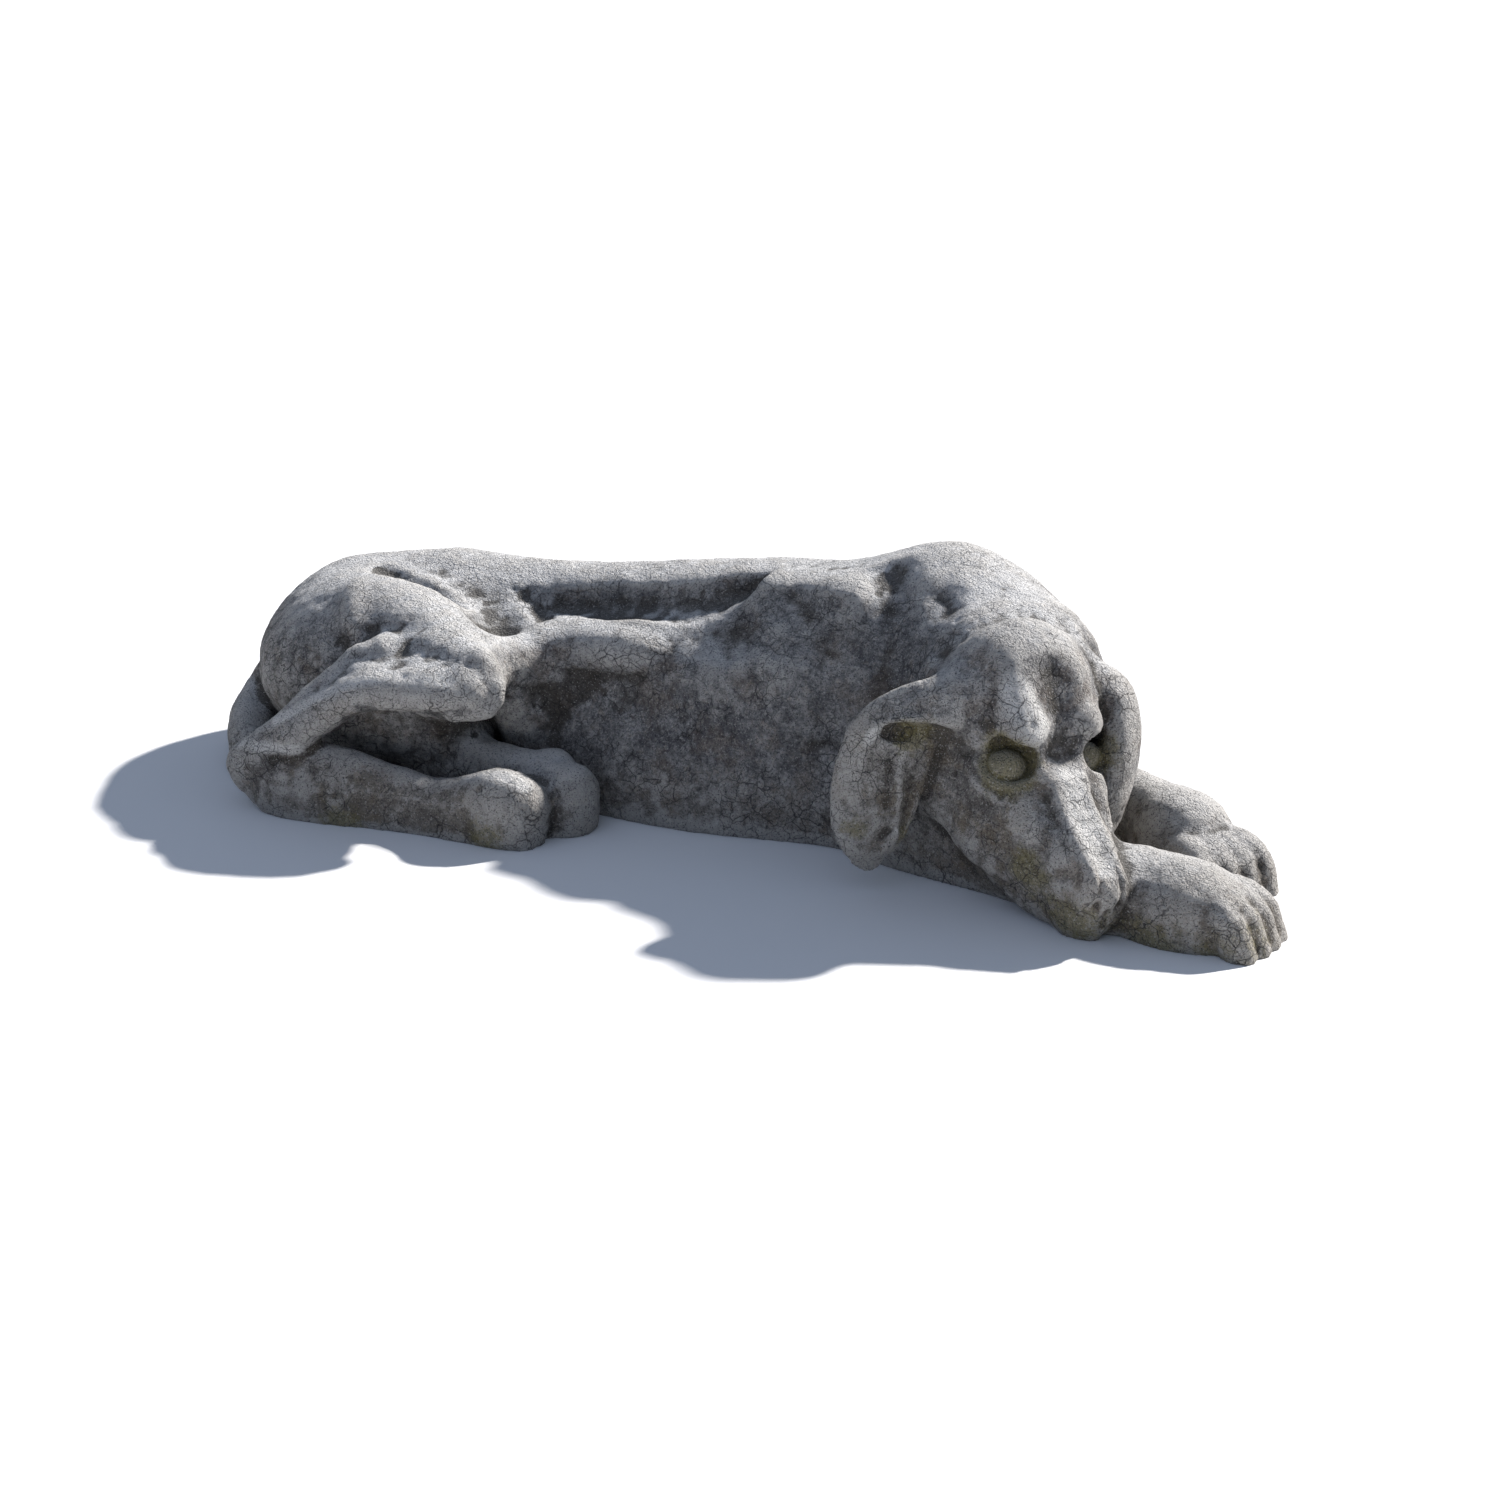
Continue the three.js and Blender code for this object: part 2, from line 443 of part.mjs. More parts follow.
function thin({ points, faces }, target) {
  const V = points.map((p) => [...p]);
  const F = faces.map((t) => [...t]);
  const Q = V.map(() => new Float64Array(10));
  const around = V.map(() => new Set());
  const flat = V.map((p) => p[2] === 0);
  const normal = (a, b, c) => cross(less(b, a), less(c, a));
  F.forEach((t, i) => {
    const n = normal(...t.map((v) => V[v]));
    const size = Math.hypot(...n);
    t.forEach((v) => around[v].add(i));
    if (size < 1e-12) return;
    const [a, b, c] = n.map((v) => v / size);
    const d = -dot([a, b, c], V[t[0]]);
    const q = [a * a, a * b, a * c, a * d, b * b, b * c, b * d, c * c, c * d, d * d];
    const weight = size * (t.every((v) => flat[v]) ? 30 : 1);
    t.forEach((v) => q.forEach((x, k) => { Q[v][k] += x * weight; }));
  });
  const harm = (q, [x, y, z]) => q[0] * x * x + q[4] * y * y + q[7] * z * z
    + 2 * (q[1] * x * y + q[2] * x * z + q[5] * y * z + q[3] * x + q[6] * y + q[8] * z) + q[9];
  const best = (u, v) => {
    const q = Q[u].map((x, k) => x + Q[v][k]);
    const level = flat[u] || flat[v];
    const picks = [V[u], V[v], V[u].map((x, k) => (x + V[v][k]) / 2)];
    if (flat[u] !== flat[v]) picks.splice(0, 3, flat[u] ? V[u] : V[v]);
    const [c0, c1, c2] = [[q[0], q[1], q[2]], [q[1], q[4], q[5]], [q[2], q[5], q[7]]];
    const det = dot(c0, cross(c1, c2));
    if (!level && Math.abs(det) > 1e-7 * (q[0] + q[4] + q[7]) ** 3) {
      const r = [-q[3], -q[6], -q[8]];
      picks.push([dot(r, cross(c1, c2)), dot(c0, cross(r, c2)), dot(c0, cross(c1, r))].map((v) => v / det));
    }
    const long = Math.hypot(...V[u].map((x, k) => x - V[v][k]));
    let pick = null, cost = Infinity;
    for (const p of picks) {
      if (Math.hypot(...p.map((x, k) => x - V[u][k])) > 2 * long) continue;
      const c = Math.max(harm(q, p), 0) + 1e-5 * long * long;
      if (c < cost) [pick, cost] = [p, c];
    }
    return [cost, pick];
  };
  const stamp = new Int32Array(V.length);
  const heap = [];
  const push = (item) => {
    let i = heap.push(item) - 1;
    while (i && heap[(i - 1) >> 1][0] > item[0]) {
      heap[i] = heap[(i - 1) >> 1];
      i = (i - 1) >> 1;
    }
    heap[i] = item;
  };
  const pop = () => {
    const top = heap[0], last = heap.pop();
    if (!heap.length) return top;
    let i = 0;
    for (;;) {
      let c = 2 * i + 1;
      if (c >= heap.length) break;
      if (c + 1 < heap.length && heap[c + 1][0] < heap[c][0]) c++;
      if (heap[c][0] >= last[0]) break;
      heap[i] = heap[c];
      i = c;
    }
    heap[i] = last;
    return top;
  };
  const offer = (u, v) => {
    const [cost, pick] = best(u, v);
    if (pick) push([cost, u, v, stamp[u], stamp[v], pick]);
  };
  const near = (v) => new Set([...around[v]].flatMap((t) => F[t]).filter((w) => w !== v));
  F.forEach((t) => t.forEach((v, k) => { if (v < t[(k + 1) % 3]) offer(v, t[(k + 1) % 3]); }));
  const keeps = (v, other, p) => {
    for (const t of around[v]) {
      if (F[t].includes(other)) continue;
      const before = normal(...F[t].map((w) => V[w]));
      const ends = F[t].map((w) => (w === v ? p : V[w]));
      const after = normal(...ends);
      const size = Math.hypot(...after);
      if (dot(before, after) < 0.3 * Math.hypot(...before) * size) return false;
      const long = Math.max(...ends.map((a, k) => Math.hypot(...less(a, ends[(k + 1) % 3]))));
      if (size < 0.06 * long * long) return false;
    }
    return true;
  };
  let left = F.length;
  while (left > target && heap.length) {
    const [, u, v, su, sv, p] = pop();
    if (stamp[u] !== su || stamp[v] !== sv) continue;
    const ring = near(u), other = near(v);
    if ([...ring].filter((w) => other.has(w)).length !== 2) continue;
    if (!keeps(u, v, p) || !keeps(v, u, p)) continue;
    V[u] = [...p];
    flat[u] = flat[u] || flat[v];
    if (flat[u]) V[u][2] = 0;
    Q[v].forEach((x, k) => { Q[u][k] += x; });
    for (const t of around[v]) {
      if (F[t].includes(u)) {
        F[t].forEach((w) => w !== v && around[w].delete(t));
        F[t] = null;
        left--;
      } else {
        F[t] = F[t].map((w) => (w === v ? u : w));
        around[u].add(t);
      }
    }
    around[v] = new Set();
    stamp[u]++;
    stamp[v] = -1;
    for (const w of near(u)) offer(u, w);
  }
  return { points: V, faces: F.filter((t) => t) };
}

// grid lines, closer together between the pairs of ends given
function lines(from, to, wide, close, ...zones) {
  const out = [from];
  while (out.at(-1) < to) {
    const v = out.at(-1);
    out.push(v + (zones.some(([a, b]) => v >= a && v < b) ? close : wide));
  }
  return out;
}

function build() {
  const [coarse, fine, level] = [5, 3, 4.4];
  const [face, side] = [[196, 500], [-180, -60]]; // where the finer carving lies
  const clay = new Clay(
    lines(-512, 512, coarse, fine, face),
    lines(-196, 196, coarse, fine, side),
    lines(-1.5 * level, 262, level, level),
  );
  for (const shape of parts) shape(clay);
  clay.floor();
  const { points, faces } = thin(skin(clay), budget);
  const place = new Float32Array(faces.length * 9);
  faces.flat().forEach((v, i) => place.set(points[v].map((x, k) => (x - middle[k]) * scale[k]), i * 3));
  const form = new THREE.BufferGeometry();
  form.setAttribute("position", new THREE.BufferAttribute(place, 3));
  form.computeVertexNormals();
  const stone = new THREE.MeshStandardMaterial({
    name: "cast stone", color: 0x8f9092, roughness: 0.92, metalness: 0,
  });
  const dog = new THREE.Mesh(form, stone);
  dog.name = "dog";
  const whole = new THREE.Group();
  whole.name = "dog_statue";
  whole.add(dog);
  return whole;
}

export default build();
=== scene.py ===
"""A hound lying with its chin over its forepaws, carved in the round and cast in stone.

The figure is worked as clay: soft solids are joined, hollowed and grooved in a field of
distances, the field is skinned, and the skin gets the weathering of the stone. Modelling
units are close to millimetres; the finished mesh is in metres.
"""

import bpy
import numpy as np
from mathutils import Matrix, Vector


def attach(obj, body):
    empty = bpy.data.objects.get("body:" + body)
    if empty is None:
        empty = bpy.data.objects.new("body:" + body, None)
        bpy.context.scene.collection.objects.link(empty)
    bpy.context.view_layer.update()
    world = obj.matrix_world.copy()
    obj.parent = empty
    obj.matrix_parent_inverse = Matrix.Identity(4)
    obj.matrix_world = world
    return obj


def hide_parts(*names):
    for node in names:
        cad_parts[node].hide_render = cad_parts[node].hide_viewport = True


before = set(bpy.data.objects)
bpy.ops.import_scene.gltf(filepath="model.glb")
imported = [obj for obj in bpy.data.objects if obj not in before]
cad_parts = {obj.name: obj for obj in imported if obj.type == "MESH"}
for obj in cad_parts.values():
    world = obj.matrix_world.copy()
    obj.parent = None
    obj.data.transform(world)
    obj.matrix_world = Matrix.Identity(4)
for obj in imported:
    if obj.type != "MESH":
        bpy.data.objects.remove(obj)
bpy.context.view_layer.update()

# sizes in metres: rump to claws, across the folded legs, ground to shoulders
LENGTH, DEPTH, HEIGHT = 0.950, 0.3328, 0.2292

# the same three in modelling units, and the middle of the outline seen from above
MODELLED = np.array([972.15, 340.1, 234.55])
MIDDLE = np.array([7.6, 1.8, 0])
SCALE = np.array([LENGTH, DEPTH, HEIGHT]) / MODELLED

# below this height, in modelling units, the forms spread as they meet the ground, by this share
SETTLE_BELOW, SETTLE_SHARE = 30, 0.5

# spacing of the field: coarse elsewhere, fine round the head and along the side that is seen
COARSE, FINE = 3.0, 1.9
COARSE_UP, FINE_UP = 2.6, 2.1
TRIANGLES = 192000             # kept in the finished skin
MARGIN = 14                    # how far past a form the field is still worked
FADE = 2.2                     # widths after which a swelling or a groove has died away


# clay

def unit(v):
    v = np.asarray(v, float)
    return v / np.linalg.norm(v)


def spline(points, steps):
    """A smooth row of points through the given ones, with that many steps between two."""
    p = np.asarray(points, float)
    p = np.vstack([2 * p[0] - p[1], p, 2 * p[-1] - p[-2]])
    out = []
    for a, b, c, d in zip(p, p[1:], p[2:], p[3:]):
        for k in range(steps):
            t = k / steps
            out.append(0.5 * (2 * b + (c - a) * t + (2 * a - 5 * b + 4 * c - d) * t * t
                              + (3 * b - a - 3 * c + d) * t ** 3))
    return np.array(out + [p[-2]])


def euler(yaw=0, pitch=0, roll=0):
    """Forward, left and up of a body turned by these angles, in degrees; the nose rises with pitch."""
    y, p, r = np.radians([yaw, pitch, roll])
    forward = np.array([np.cos(p) * np.cos(y), np.cos(p) * np.sin(y), np.sin(p)])
    level = np.array([-np.sin(y), np.cos(y), 0])
    left = level * np.cos(r) + np.cross(forward, level) * np.sin(r)
    return np.array([forward, left, np.cross(forward, left)])


class Local:
    """A turned place that other places are measured from: ahead, to the left, up."""

    def __init__(self, o, yaw=0, pitch=0, roll=0, m=None):
        self.o = np.array(o, float)
        self.m = euler(yaw, pitch, roll) @ (np.eye(3) if m is None else m)

    def at(self, x, y, z):
        return self.o + np.array([x, y, z], float) @ self.m

    def path(self, rows):
        return [[*self.at(*row[:3]), *row[3:]] for row in rows]

    def inner(self, p, yaw=0, pitch=0, roll=0):
        return Local(self.at(*p), yaw, pitch, roll, self.m)


def ball(c, r, axes=None):
    """An egg of radii r along the given axes."""
    c = np.asarray(c, float)
    r = np.broadcast_to(np.asarray(r, float), 3)
    m = np.eye(3) if axes is None else np.asarray(axes, float)
    reach = np.sqrt(((m * r[:, None]) ** 2).sum(0))

    def distance(x, y, z):
        x, y, z = x - c[0], y - c[1], z - c[2]
        a = [(m[i, 0] * x + m[i, 1] * y + m[i, 2] * z) / r[i] for i in range(3)]
        near = np.sqrt(a[0] ** 2 + a[1] ** 2 + a[2] ** 2)
        steep = np.sqrt((a[0] / r[0]) ** 2 + (a[1] / r[1]) ** 2 + (a[2] / r[2]) ** 2) + 1e-9
        return near * (near - 1) / steep

    return c - reach, c + reach, distance


def nearest(p, x, y, z):
    """For each chord of a path, the squared distance to it and how far along it the foot is."""
    for a, b in zip(p[:-1], p[1:]):
        ab = b[:3] - a[:3]
        u, v, w = x - a[0], y - a[1], z - a[2]
        t = np.clip((u * ab[0] + v * ab[1] + w * ab[2]) / (ab @ ab), 0, 1)
        yield (u - t * ab[0]) ** 2 + (v - t * ab[1]) ** 2 + (w - t * ab[2]) ** 2, t, a, b


def tube(points, steps=4, flat=None):
    """A round limb through rows of x, y, z and radius; flat, an axis and a share, thins it that way."""
    p = spline(points, steps) if steps > 1 else np.asarray(points, float)
    r = p[:, 3].max()
    low, high = p[:, :3].min(0) - r, p[:, :3].max(0) + r
    n, k = (unit(flat[0]), 1 / flat[1] - 1) if flat else (np.zeros(3), 0)
    p = p + np.hstack([k * np.outer(p[:, :3] @ n, n), np.zeros((len(p), 1))])

    def distance(x, y, z):
        w = k * (x * n[0] + y * n[1] + z * n[2])
        x, y, z = x + w * n[0], y + w * n[1], z + w * n[2]
        out = None
        for e, t, a, b in nearest(p, x, y, z):
            q = np.sqrt(e) - (a[3] + t * (b[3] - a[3]))
            out = q if out is None else np.minimum(out, q)
        return out

    return low, high, distance


class Clay:
    """A block of field values, negative inside the clay."""

    def __init__(self, xs, ys, zs):
        spread = np.where(zs < SETTLE_BELOW, SETTLE_BELOW + (zs - SETTLE_BELOW) * SETTLE_SHARE, zs)
        self.lines = [np.asarray(a, np.float32) for a in (xs, ys, spread)]
        self.heights = np.asarray(zs, np.float32)
        self.field = np.full([len(a) for a in self.lines], 1e3, np.float32)

    def near(self, low, high):
        """The part of the block between two corners, and the places of its grid lines."""
        part, grids = [], []
        for k, (a, l, h) in enumerate(zip(self.lines, low, high)):
            cut = slice(*np.searchsorted(a, (l, h)))
            shape = [1, 1, 1]
            shape[k] = -1
            part.append(cut)
            grids.append(a[cut].reshape(shape))
        return tuple(part), grids

    def add(self, shape, blend=20):
        """Joins a shape on, with a fillet about as wide as blend."""
        low, high, distance = shape
        part, grids = self.near(low - blend - MARGIN, high + blend + MARGIN)
        a, b = self.field[part], distance(*grids)
        h = np.maximum(blend - np.abs(a - b), 0) / blend
        self.field[part] = np.minimum(a, b) - h * h * blend * 0.25

    def carve(self, shape, blend=8):
        """Hollows a shape out, with a rounded lip."""
        low, high, distance = shape
        part, grids = self.near(low - blend - MARGIN, high + blend + MARGIN)
        a, b = self.field[part], -distance(*grids)
        h = np.maximum(blend - np.abs(a - b), 0) / blend
        self.field[part] = np.maximum(a, b) + h * h * blend * 0.25

    def swell(self, c, r, height, axes=None):
        """A soft mound of that height; a negative one is a hollow."""
        c = np.asarray(c, float)
        m = np.eye(3) if axes is None else np.asarray(axes, float)
        reach = FADE * np.sqrt(((m * np.array(r)[:, None]) ** 2).sum(0))
        part, (x, y, z) = self.near(c - reach, c + reach)
        x, y, z = x - c[0], y - c[1], z - c[2]
        q = sum(((m[k, 0] * x + m[k, 1] * y + m[k, 2] * z) / r[k]) ** 2 for k in range(3))
        self.field[part] -= height * np.exp(-q)

    def groove(self, points, width, depth, steps=5):
        """A soft groove along a path that fades at both ends; a negative depth is a ridge."""
        p = spline(points, steps)
        part, grids = self.near(p.min(0) - FADE * width, p.max(0) + FADE * width)
        best, along = None, None
        for k, (e, t, _, _) in enumerate(nearest(p, *grids)):
            here = (k + t) / (len(p) - 1)
            if best is None:
                best, along = e, here
            else:
                along = np.where(e < best, here, along)
                best = np.minimum(best, e)
        fade = np.clip(np.minimum(along, 1 - along) / 0.25, 0, 1)
        self.field[part] += depth * fade * (2 - fade) * np.exp(-best / width ** 2)

    def floor(self):
        """Cuts the clay flat at the ground."""
        self.field = np.maximum(self.field, -self.heights[None, None, :])


# the hound, in modelling units: +X from rump to claws, -Y the side the head turns to, +Z up

head_frame = Local([298, -92, 118], -42, -25, -5)


def torso(c):
    # chest, loins and croup
    c.add(ball([20, 62, 92], [165, 106, 104]), 30)
    c.add(ball([150, 66, 104], [110, 96, 104]), 40)
    c.add(ball([192, 62, 118], [76, 78, 96]), 40)
    c.add(ball([-120, 68, 80], [140, 92, 92]), 40)
    c.add(ball([-295, 62, 76], [135, 100, 86]), 40)
    c.add(ball([-380, 48, 76], [86, 80, 78]), 36)
    c.add(tube([[-150, 16, 30, 56], [-90, 4, 30, 58], [-20, -2, 30, 58], [80, 4, 32, 54]], 3), 26)
    # back line
    c.add(tube([[-385, 74, 116, 34], [-300, 84, 132, 34], [-160, 88, 134, 34], [-40, 88, 145, 36],
                [80, 86, 160, 38], [165, 80, 182, 38]], 3), 40)
    # furrow beneath the back muscles, and the ribs below it
    c.groove([[-205, 34, 154], [-160, 32, 157], [-110, 30, 163], [-60, 30, 170], [-16, 38, 182],
              [20, 52, 196]], 15, 16)
    c.groove([[-222, 40, 162], [-206, 34, 156], [-192, 24, 148], [-178, 12, 140]], 8, 6)
    c.groove([[-150, 22, 152], [-110, 20, 157], [-66, 16, 162], [-30, 12, 166]], 8, 5)
    c.swell([-134, -8, 140], [58, 22, 15], 12)
    c.add(tube([[-176, 0, 124, 20], [-124, -8, 131, 20], [-86, -11, 135, 19],
                [-66, -10, 138, 14]], 3), 8)
    c.swell([-120, -40, 108], [64, 24, 20], -7)
    c.swell([-12, 2, 160], [52, 24, 22], -13)
    c.swell([-34, 18, 176], [26, 15, 13], -7)
    c.swell([22, 40, 200], [56, 18, 12], 7)
    # the flank falls away steeply under the back and the shoulder
    c.groove([[-70, -14, 146], [-10, -18, 153], [30, -25, 160], [81, -24, 166], [136, -26, 170]], 20, 7)
    c.groove([[-10, 30, 194], [50, 22, 200], [98, 10, 204], [128, -2, 198]], 15, -4)
    # shoulder blade and the hollow behind the neck
    c.swell([52, -22, 160], [56, 26, 46], 10)
    c.swell([84, 22, 202], [34, 26, 22], 13)
    c.swell([100, 2, 184], [18, 22, 34], 8)
    c.swell([146, 78, 212], [40, 40, 26], 8)
    c.groove([[120, 54, 216], [130, 20, 208], [142, -8, 194], [150, -30, 170], [148, -44, 124]],
              17, 24)
    c.swell([184, 4, 212], [24, 32, 22], 7)


def far_side(c):
    # thigh and the furrow in front of it
    c.swell([-300, 156, 92], [72, 40, 50], 10)
    c.groove([[-252, 138, 160], [-222, 156, 132], [-206, 164, 98], [-214, 160, 62],
              [-240, 152, 34]], 13, 13)
    c.swell([-214, 158, 70], [26, 30, 22], -5)
    # shoulder and the furrow behind it
    c.swell([166, 146, 128], [56, 40, 58], 8)
    c.groove([[128, 112, 200], [106, 142, 168], [98, 158, 130], [108, 158, 92], [130, 148, 60]], 12, 9)
    # flank, rib cage and croup
    c.swell([-70, 166, 66], [88, 30, 26], -7)
    c.swell([-40, 160, 124], [80, 26, 18], 4)
    c.swell([-352, 120, 150], [40, 30, 20], -4)
    c.swell([-300, 120, 158], [40, 22, 16], 4)


def haunch(c):
    c.add(ball([-338, -4, 86], [104, 84, 70]), 30)
    c.add(tube([[-350, 6, 98, 66], [-295, -26, 110, 62], [-245, -62, 118, 44],
                [-206, -88, 122, 28]], 3), 26)
    # shank: knee back to the hock, with the tendon behind it
    c.add(tube([[-204, -92, 118, 24], [-245, -104, 120, 23], [-300, -114, 108, 19],
                [-345, -126, 78, 16], [-376, -133, 50, 18]], 3), 9)
    c.add(tube([[-192, -112, 118, 13], [-212, -121, 118, 13], [-250, -128, 118, 14],
                [-286, -133, 115, 13], [-318, -137, 95, 12], [-348, -137, 66, 12]], 3), 16)
    c.add(tube([[-196, -90, 138, 14], [-178, -100, 124, 10], [-182, -107, 106, 9],
                [-208, -114, 104, 11]], 2), 6)
    c.add(tube([[-396, -136, 38, 14], [-360, -126, 74, 12], [-322, -110, 111, 14],
                [-284, -86, 132, 20]], 3), 10)
    # inner side of the far thigh, seen under the shank
    c.add(tube([[-340, -50, 60, 40], [-280, -48, 60, 38], [-240, -44, 48, 28]], 3), 18)
    # groove between croup and thigh, deeper at its lower end, and the ridges beside it
    c.groove([[-356, 34, 170], [-318, 18, 167], [-284, 6, 163], [-246, -4, 156]], 8, 22)
    c.groove([[-330, 22, 168], [-306, 14, 166], [-288, 8, 163], [-268, 2, 160], [-250, -4, 157]], 7, 9)
    c.swell([-300, -14, 150], [44, 18, 16], 6)
    c.groove([[-350, 4, 166], [-338, -40, 160], [-322, -80, 150], [-306, -108, 134]], 12, -5)
    c.groove([[-306, -116, 128], [-270, -122, 128], [-232, -118, 134], [-196, -104, 128]], 8, -4)
    # muscle hollows
    c.swell([-262, -120, 138], [15, 12, 8], -5)
    c.swell([-236, -112, 146], [18, 14, 9], -4)
    c.swell([-262, -66, 146], [40, 18, 14], -8)
    c.swell([-322, -62, 128], [22, 18, 18], -6)
    # fold of skin to the flank
    c.add(tube([[-222, -66, 124, 22], [-196, -36, 120, 22], [-160, 4, 110, 22]], 3), 24)
    c.add(tube([[-200, -34, 100, 22], [-188, -20, 76, 26], [-176, -12, 44, 30]], 3), 10)


def toes(c, paw, size, count, spread):
    """Toes side by side on a paw frame whose origin is under the knuckles, +X to the claws."""
    for k in range(count):
        t = k - (count - 1) / 2
        long = 1 - 0.07 * abs(t)
        c.add(tube(paw.path([[-26 * size, 12 * t * size, 26 * size, 17 * size],
                             [8 * size, 14 * t * size, 34 * size, 16 * size],
                             [(32 * size) * long, spread * t * size, 28 * size, 13 * size],
                             [(46 * size) * long, (spread + 0.5) * t * size, 15 * size,
                              12 * size]]), 3), 4 * size)
        c.add(tube(paw.path([[50 * size * long, (spread + 0.5) * t * size, 17 * size, 6 * size],
                             [59 * size * long, (spread + 0.5) * t * size, 6 * size, 3.5 * size]]), 1), 4)


def near_foot(c):
    """Hind foot from the hock forward, flattened from side to side."""
    c.add(tube([[-393, -136, 40, 18], [-350, -134, 33, 31], [-310, -131, 28, 33],
                [-280, -128, 22, 31], [-225, -128, 18, 27], [-190, -130, 24, 28]],
               3, [[0.1, -0.95, 0.3], 0.62]), 9)
    c.add(ball([-160, -127, 30], [40, 27, 32]), 10)
    toes(c, Local([-166, -126, -1], 0), 0.72, 3, 18)


def far_foot(c):
    c.add(tube([[-260, -52, 30, 26], [-200, -66, 34, 25], [-150, -78, 32, 27],
                [-122, -84, 28, 29]], 3), 12)
    c.add(ball([-140, -66, 50], [15, 13, 11]), 9)
    toes(c, Local([-146, -82, -4], 10), 0.74, 3, 16)


def tail(c):
    c.add(tube([[-412, 50, 70, 32], [-446, 34, 54, 26], [-456, -4, 34, 22], [-440, -50, 24, 20],
                [-400, -90, 18, 16], [-350, -96, 14, 12]], 3), 14)


def neck(c):
    c.add(tube([[165, 52, 128, 90], [212, 24, 131, 86], [240, -16, 130, 76]], 3), 36)
    c.add(ball([256, 16, 122], [50, 48, 86]), 30)


def head(c):
    h = head_frame
    turn = h.m
    # skull and throat
    c.add(ball(h.at(-72, 2, 14), [72, 60, 54], turn), 24)
    c.add(ball(h.at(-62, -8, -44), [76, 56, 70], turn), 24)
    c.swell(h.at(-62, -4, 66), [34, 36, 18], 6, turn)
    # crease behind the skull and the hollow of the neck beside it
    c.groove([[183, -56, 178], [203, -58, 198], [214, -54, 209], [231, -41, 218], [252, -22, 222],
              [279, -12, 215], [292, 6, 200]], 13, 12)
    c.swell([180, -4, 212], [16, 22, 16], -8)
    # bridge of the muzzle, flat on top
    c.add(tube(h.path([[-20, 0, -12, 44], [30, 0, -24, 30], [76, 0, -30, 22],
                       [104, 0, -36, 17]]), 3), 16)
    for s in [-1, 1]:
        c.add(tube(h.path([[-20, 13 * s, 4, 20], [26, 12 * s, 1, 8], [50, 13 * s, -5, 5.5],
                           [80, 12 * s, -12, 5], [108, 11 * s, -20, 6]]), 3), 5)
        # cheek, lips
        c.add(tube(h.path([[-52, 30 * s, -64, 38], [6, 25 * s, -67, 31], [50, 16 * s, -67, 22],
                           [86, 9 * s, -54, 18]]), 3), 16)
        c.add(tube(h.path([[-10, 25 * s, -34, 30], [30, 15 * s, -42, 25], [62, 9 * s, -44, 20],
                           [90, 5 * s, -42, 17]]), 3), 18)
        c.add(ball(h.at(68, 13 * s, -28), [24, 15, 18], turn), 10)
        c.add(ball(h.at(28, 31 * s, -24), [28, 13, 14], turn), 14)
        c.add(tube(h.path([[8, 31 * s, -48, 17], [52, 19 * s, -50, 15]]), 1), 16)
        # brow and temple
        c.swell(h.at(-10, 27 * s, 36), [22, 17, 14], 9 - s, turn)
        c.swell(h.at(-9, 37 * s, 30), [18, 14, 13], 9 - 4 * s, turn)
        c.swell(h.at(-52, 30 * s, 58), [26, 15, 16], 5, turn)
        c.swell(h.at(-42, 60 * s, 10), [26, 14, 18], -6, turn)
    # chin, and the higher brow on the near side
    c.add(ball(h.at(98, 0, -54), [20, 17, 19], turn), 12)
    c.swell(h.at(-26, -35, 44), [20, 13, 12], 7, turn)
    # orbit of the far eye
    c.add(ball(h.at(-14, 38, 12), [18, 15, 17], turn), 10)
    c.add(ball(h.at(10, 33, -14), [24, 13, 16], turn), 12)
    # furrow down the forehead
    c.groove(h.path([[-56, 0, 66], [-32, 0, 55], [-8, 1, 37], [10, 1, 24], [26, 0, 13]]), 18, 9)
    for s in [-1, 1]:
        eye(c, h, s)
    nose(c, h)


def eye(c, h, s):
    e = h.inner([-5, 39 * s + 2, 1], 46 * s, 33, -4 * s)
    c.carve(ball(e.at(6, 0, 5), [18, 23, 19], e.m), 3)
    c.add(ball(e.at(-8, 0, -3), [15, 16, 14], e.m), 1)
    # lower lid, the fold under it and the upper lid
    c.add(tube(e.path([[-8, -22, -9, 3.5], [-1, -12, -15, 4], [3, 2, -18, 4.5],
                       [4, 15, -14, 4], [-1, 23, -5, 3.5]]), 4), 2)
    c.add(tube(e.path([[-9, -20, -21, 3.5], [-2, -8, -26, 4.5], [4, 8, -27, 4.5],
                       [5, 22, -22, 4], [1, 33, -13, 3]]), 4), 4)
    c.add(tube(e.path([[-8, -25, 6, 4], [-2, -17, 19, 5], [0, 0, 26, 5.5], [-2, 16, 20, 5],
                       [-8, 25, 6, 4]]), 4), 5)
    # crease over the upper lid, and the corner of the eye
    c.groove(e.path([[-4, -20, 11], [-1, -8, 19], [0, 6, 20], [-2, 20, 13]]), 3, 4)
    c.groove(e.path([[-2, 19 * s, -6], [0, 26 * s, -8], [-2, 33 * s, -11]]), 2.5, 4)


def nose(c, h):
    c.add(ball(h.at(108, 0, -34), [15, 19, 17], h.m), 8)
    # nostril, the edge of the nose leather and the line of the lips
    for s in [-1, 1]:
        c.carve(ball(h.at(123, 10 * s, -36), [5, 4, 5], h.m), 3)
        c.groove(h.path([[102, 8 * s, -13], [112, 9 * s, -18], [121, 10 * s, -28],
                         [123, 11 * s, -38]]), 2.5, 2.2)
        c.groove(h.path([[120, 0, -54], [104, 20 * s, -66], [76, 36 * s, -80], [44, 44 * s, -88],
                         [12, 50 * s, -90]]), 3.5, 3)
    c.groove(h.path([[125, 0, -36], [122, 0, -52]]), 2.5, 2.5)


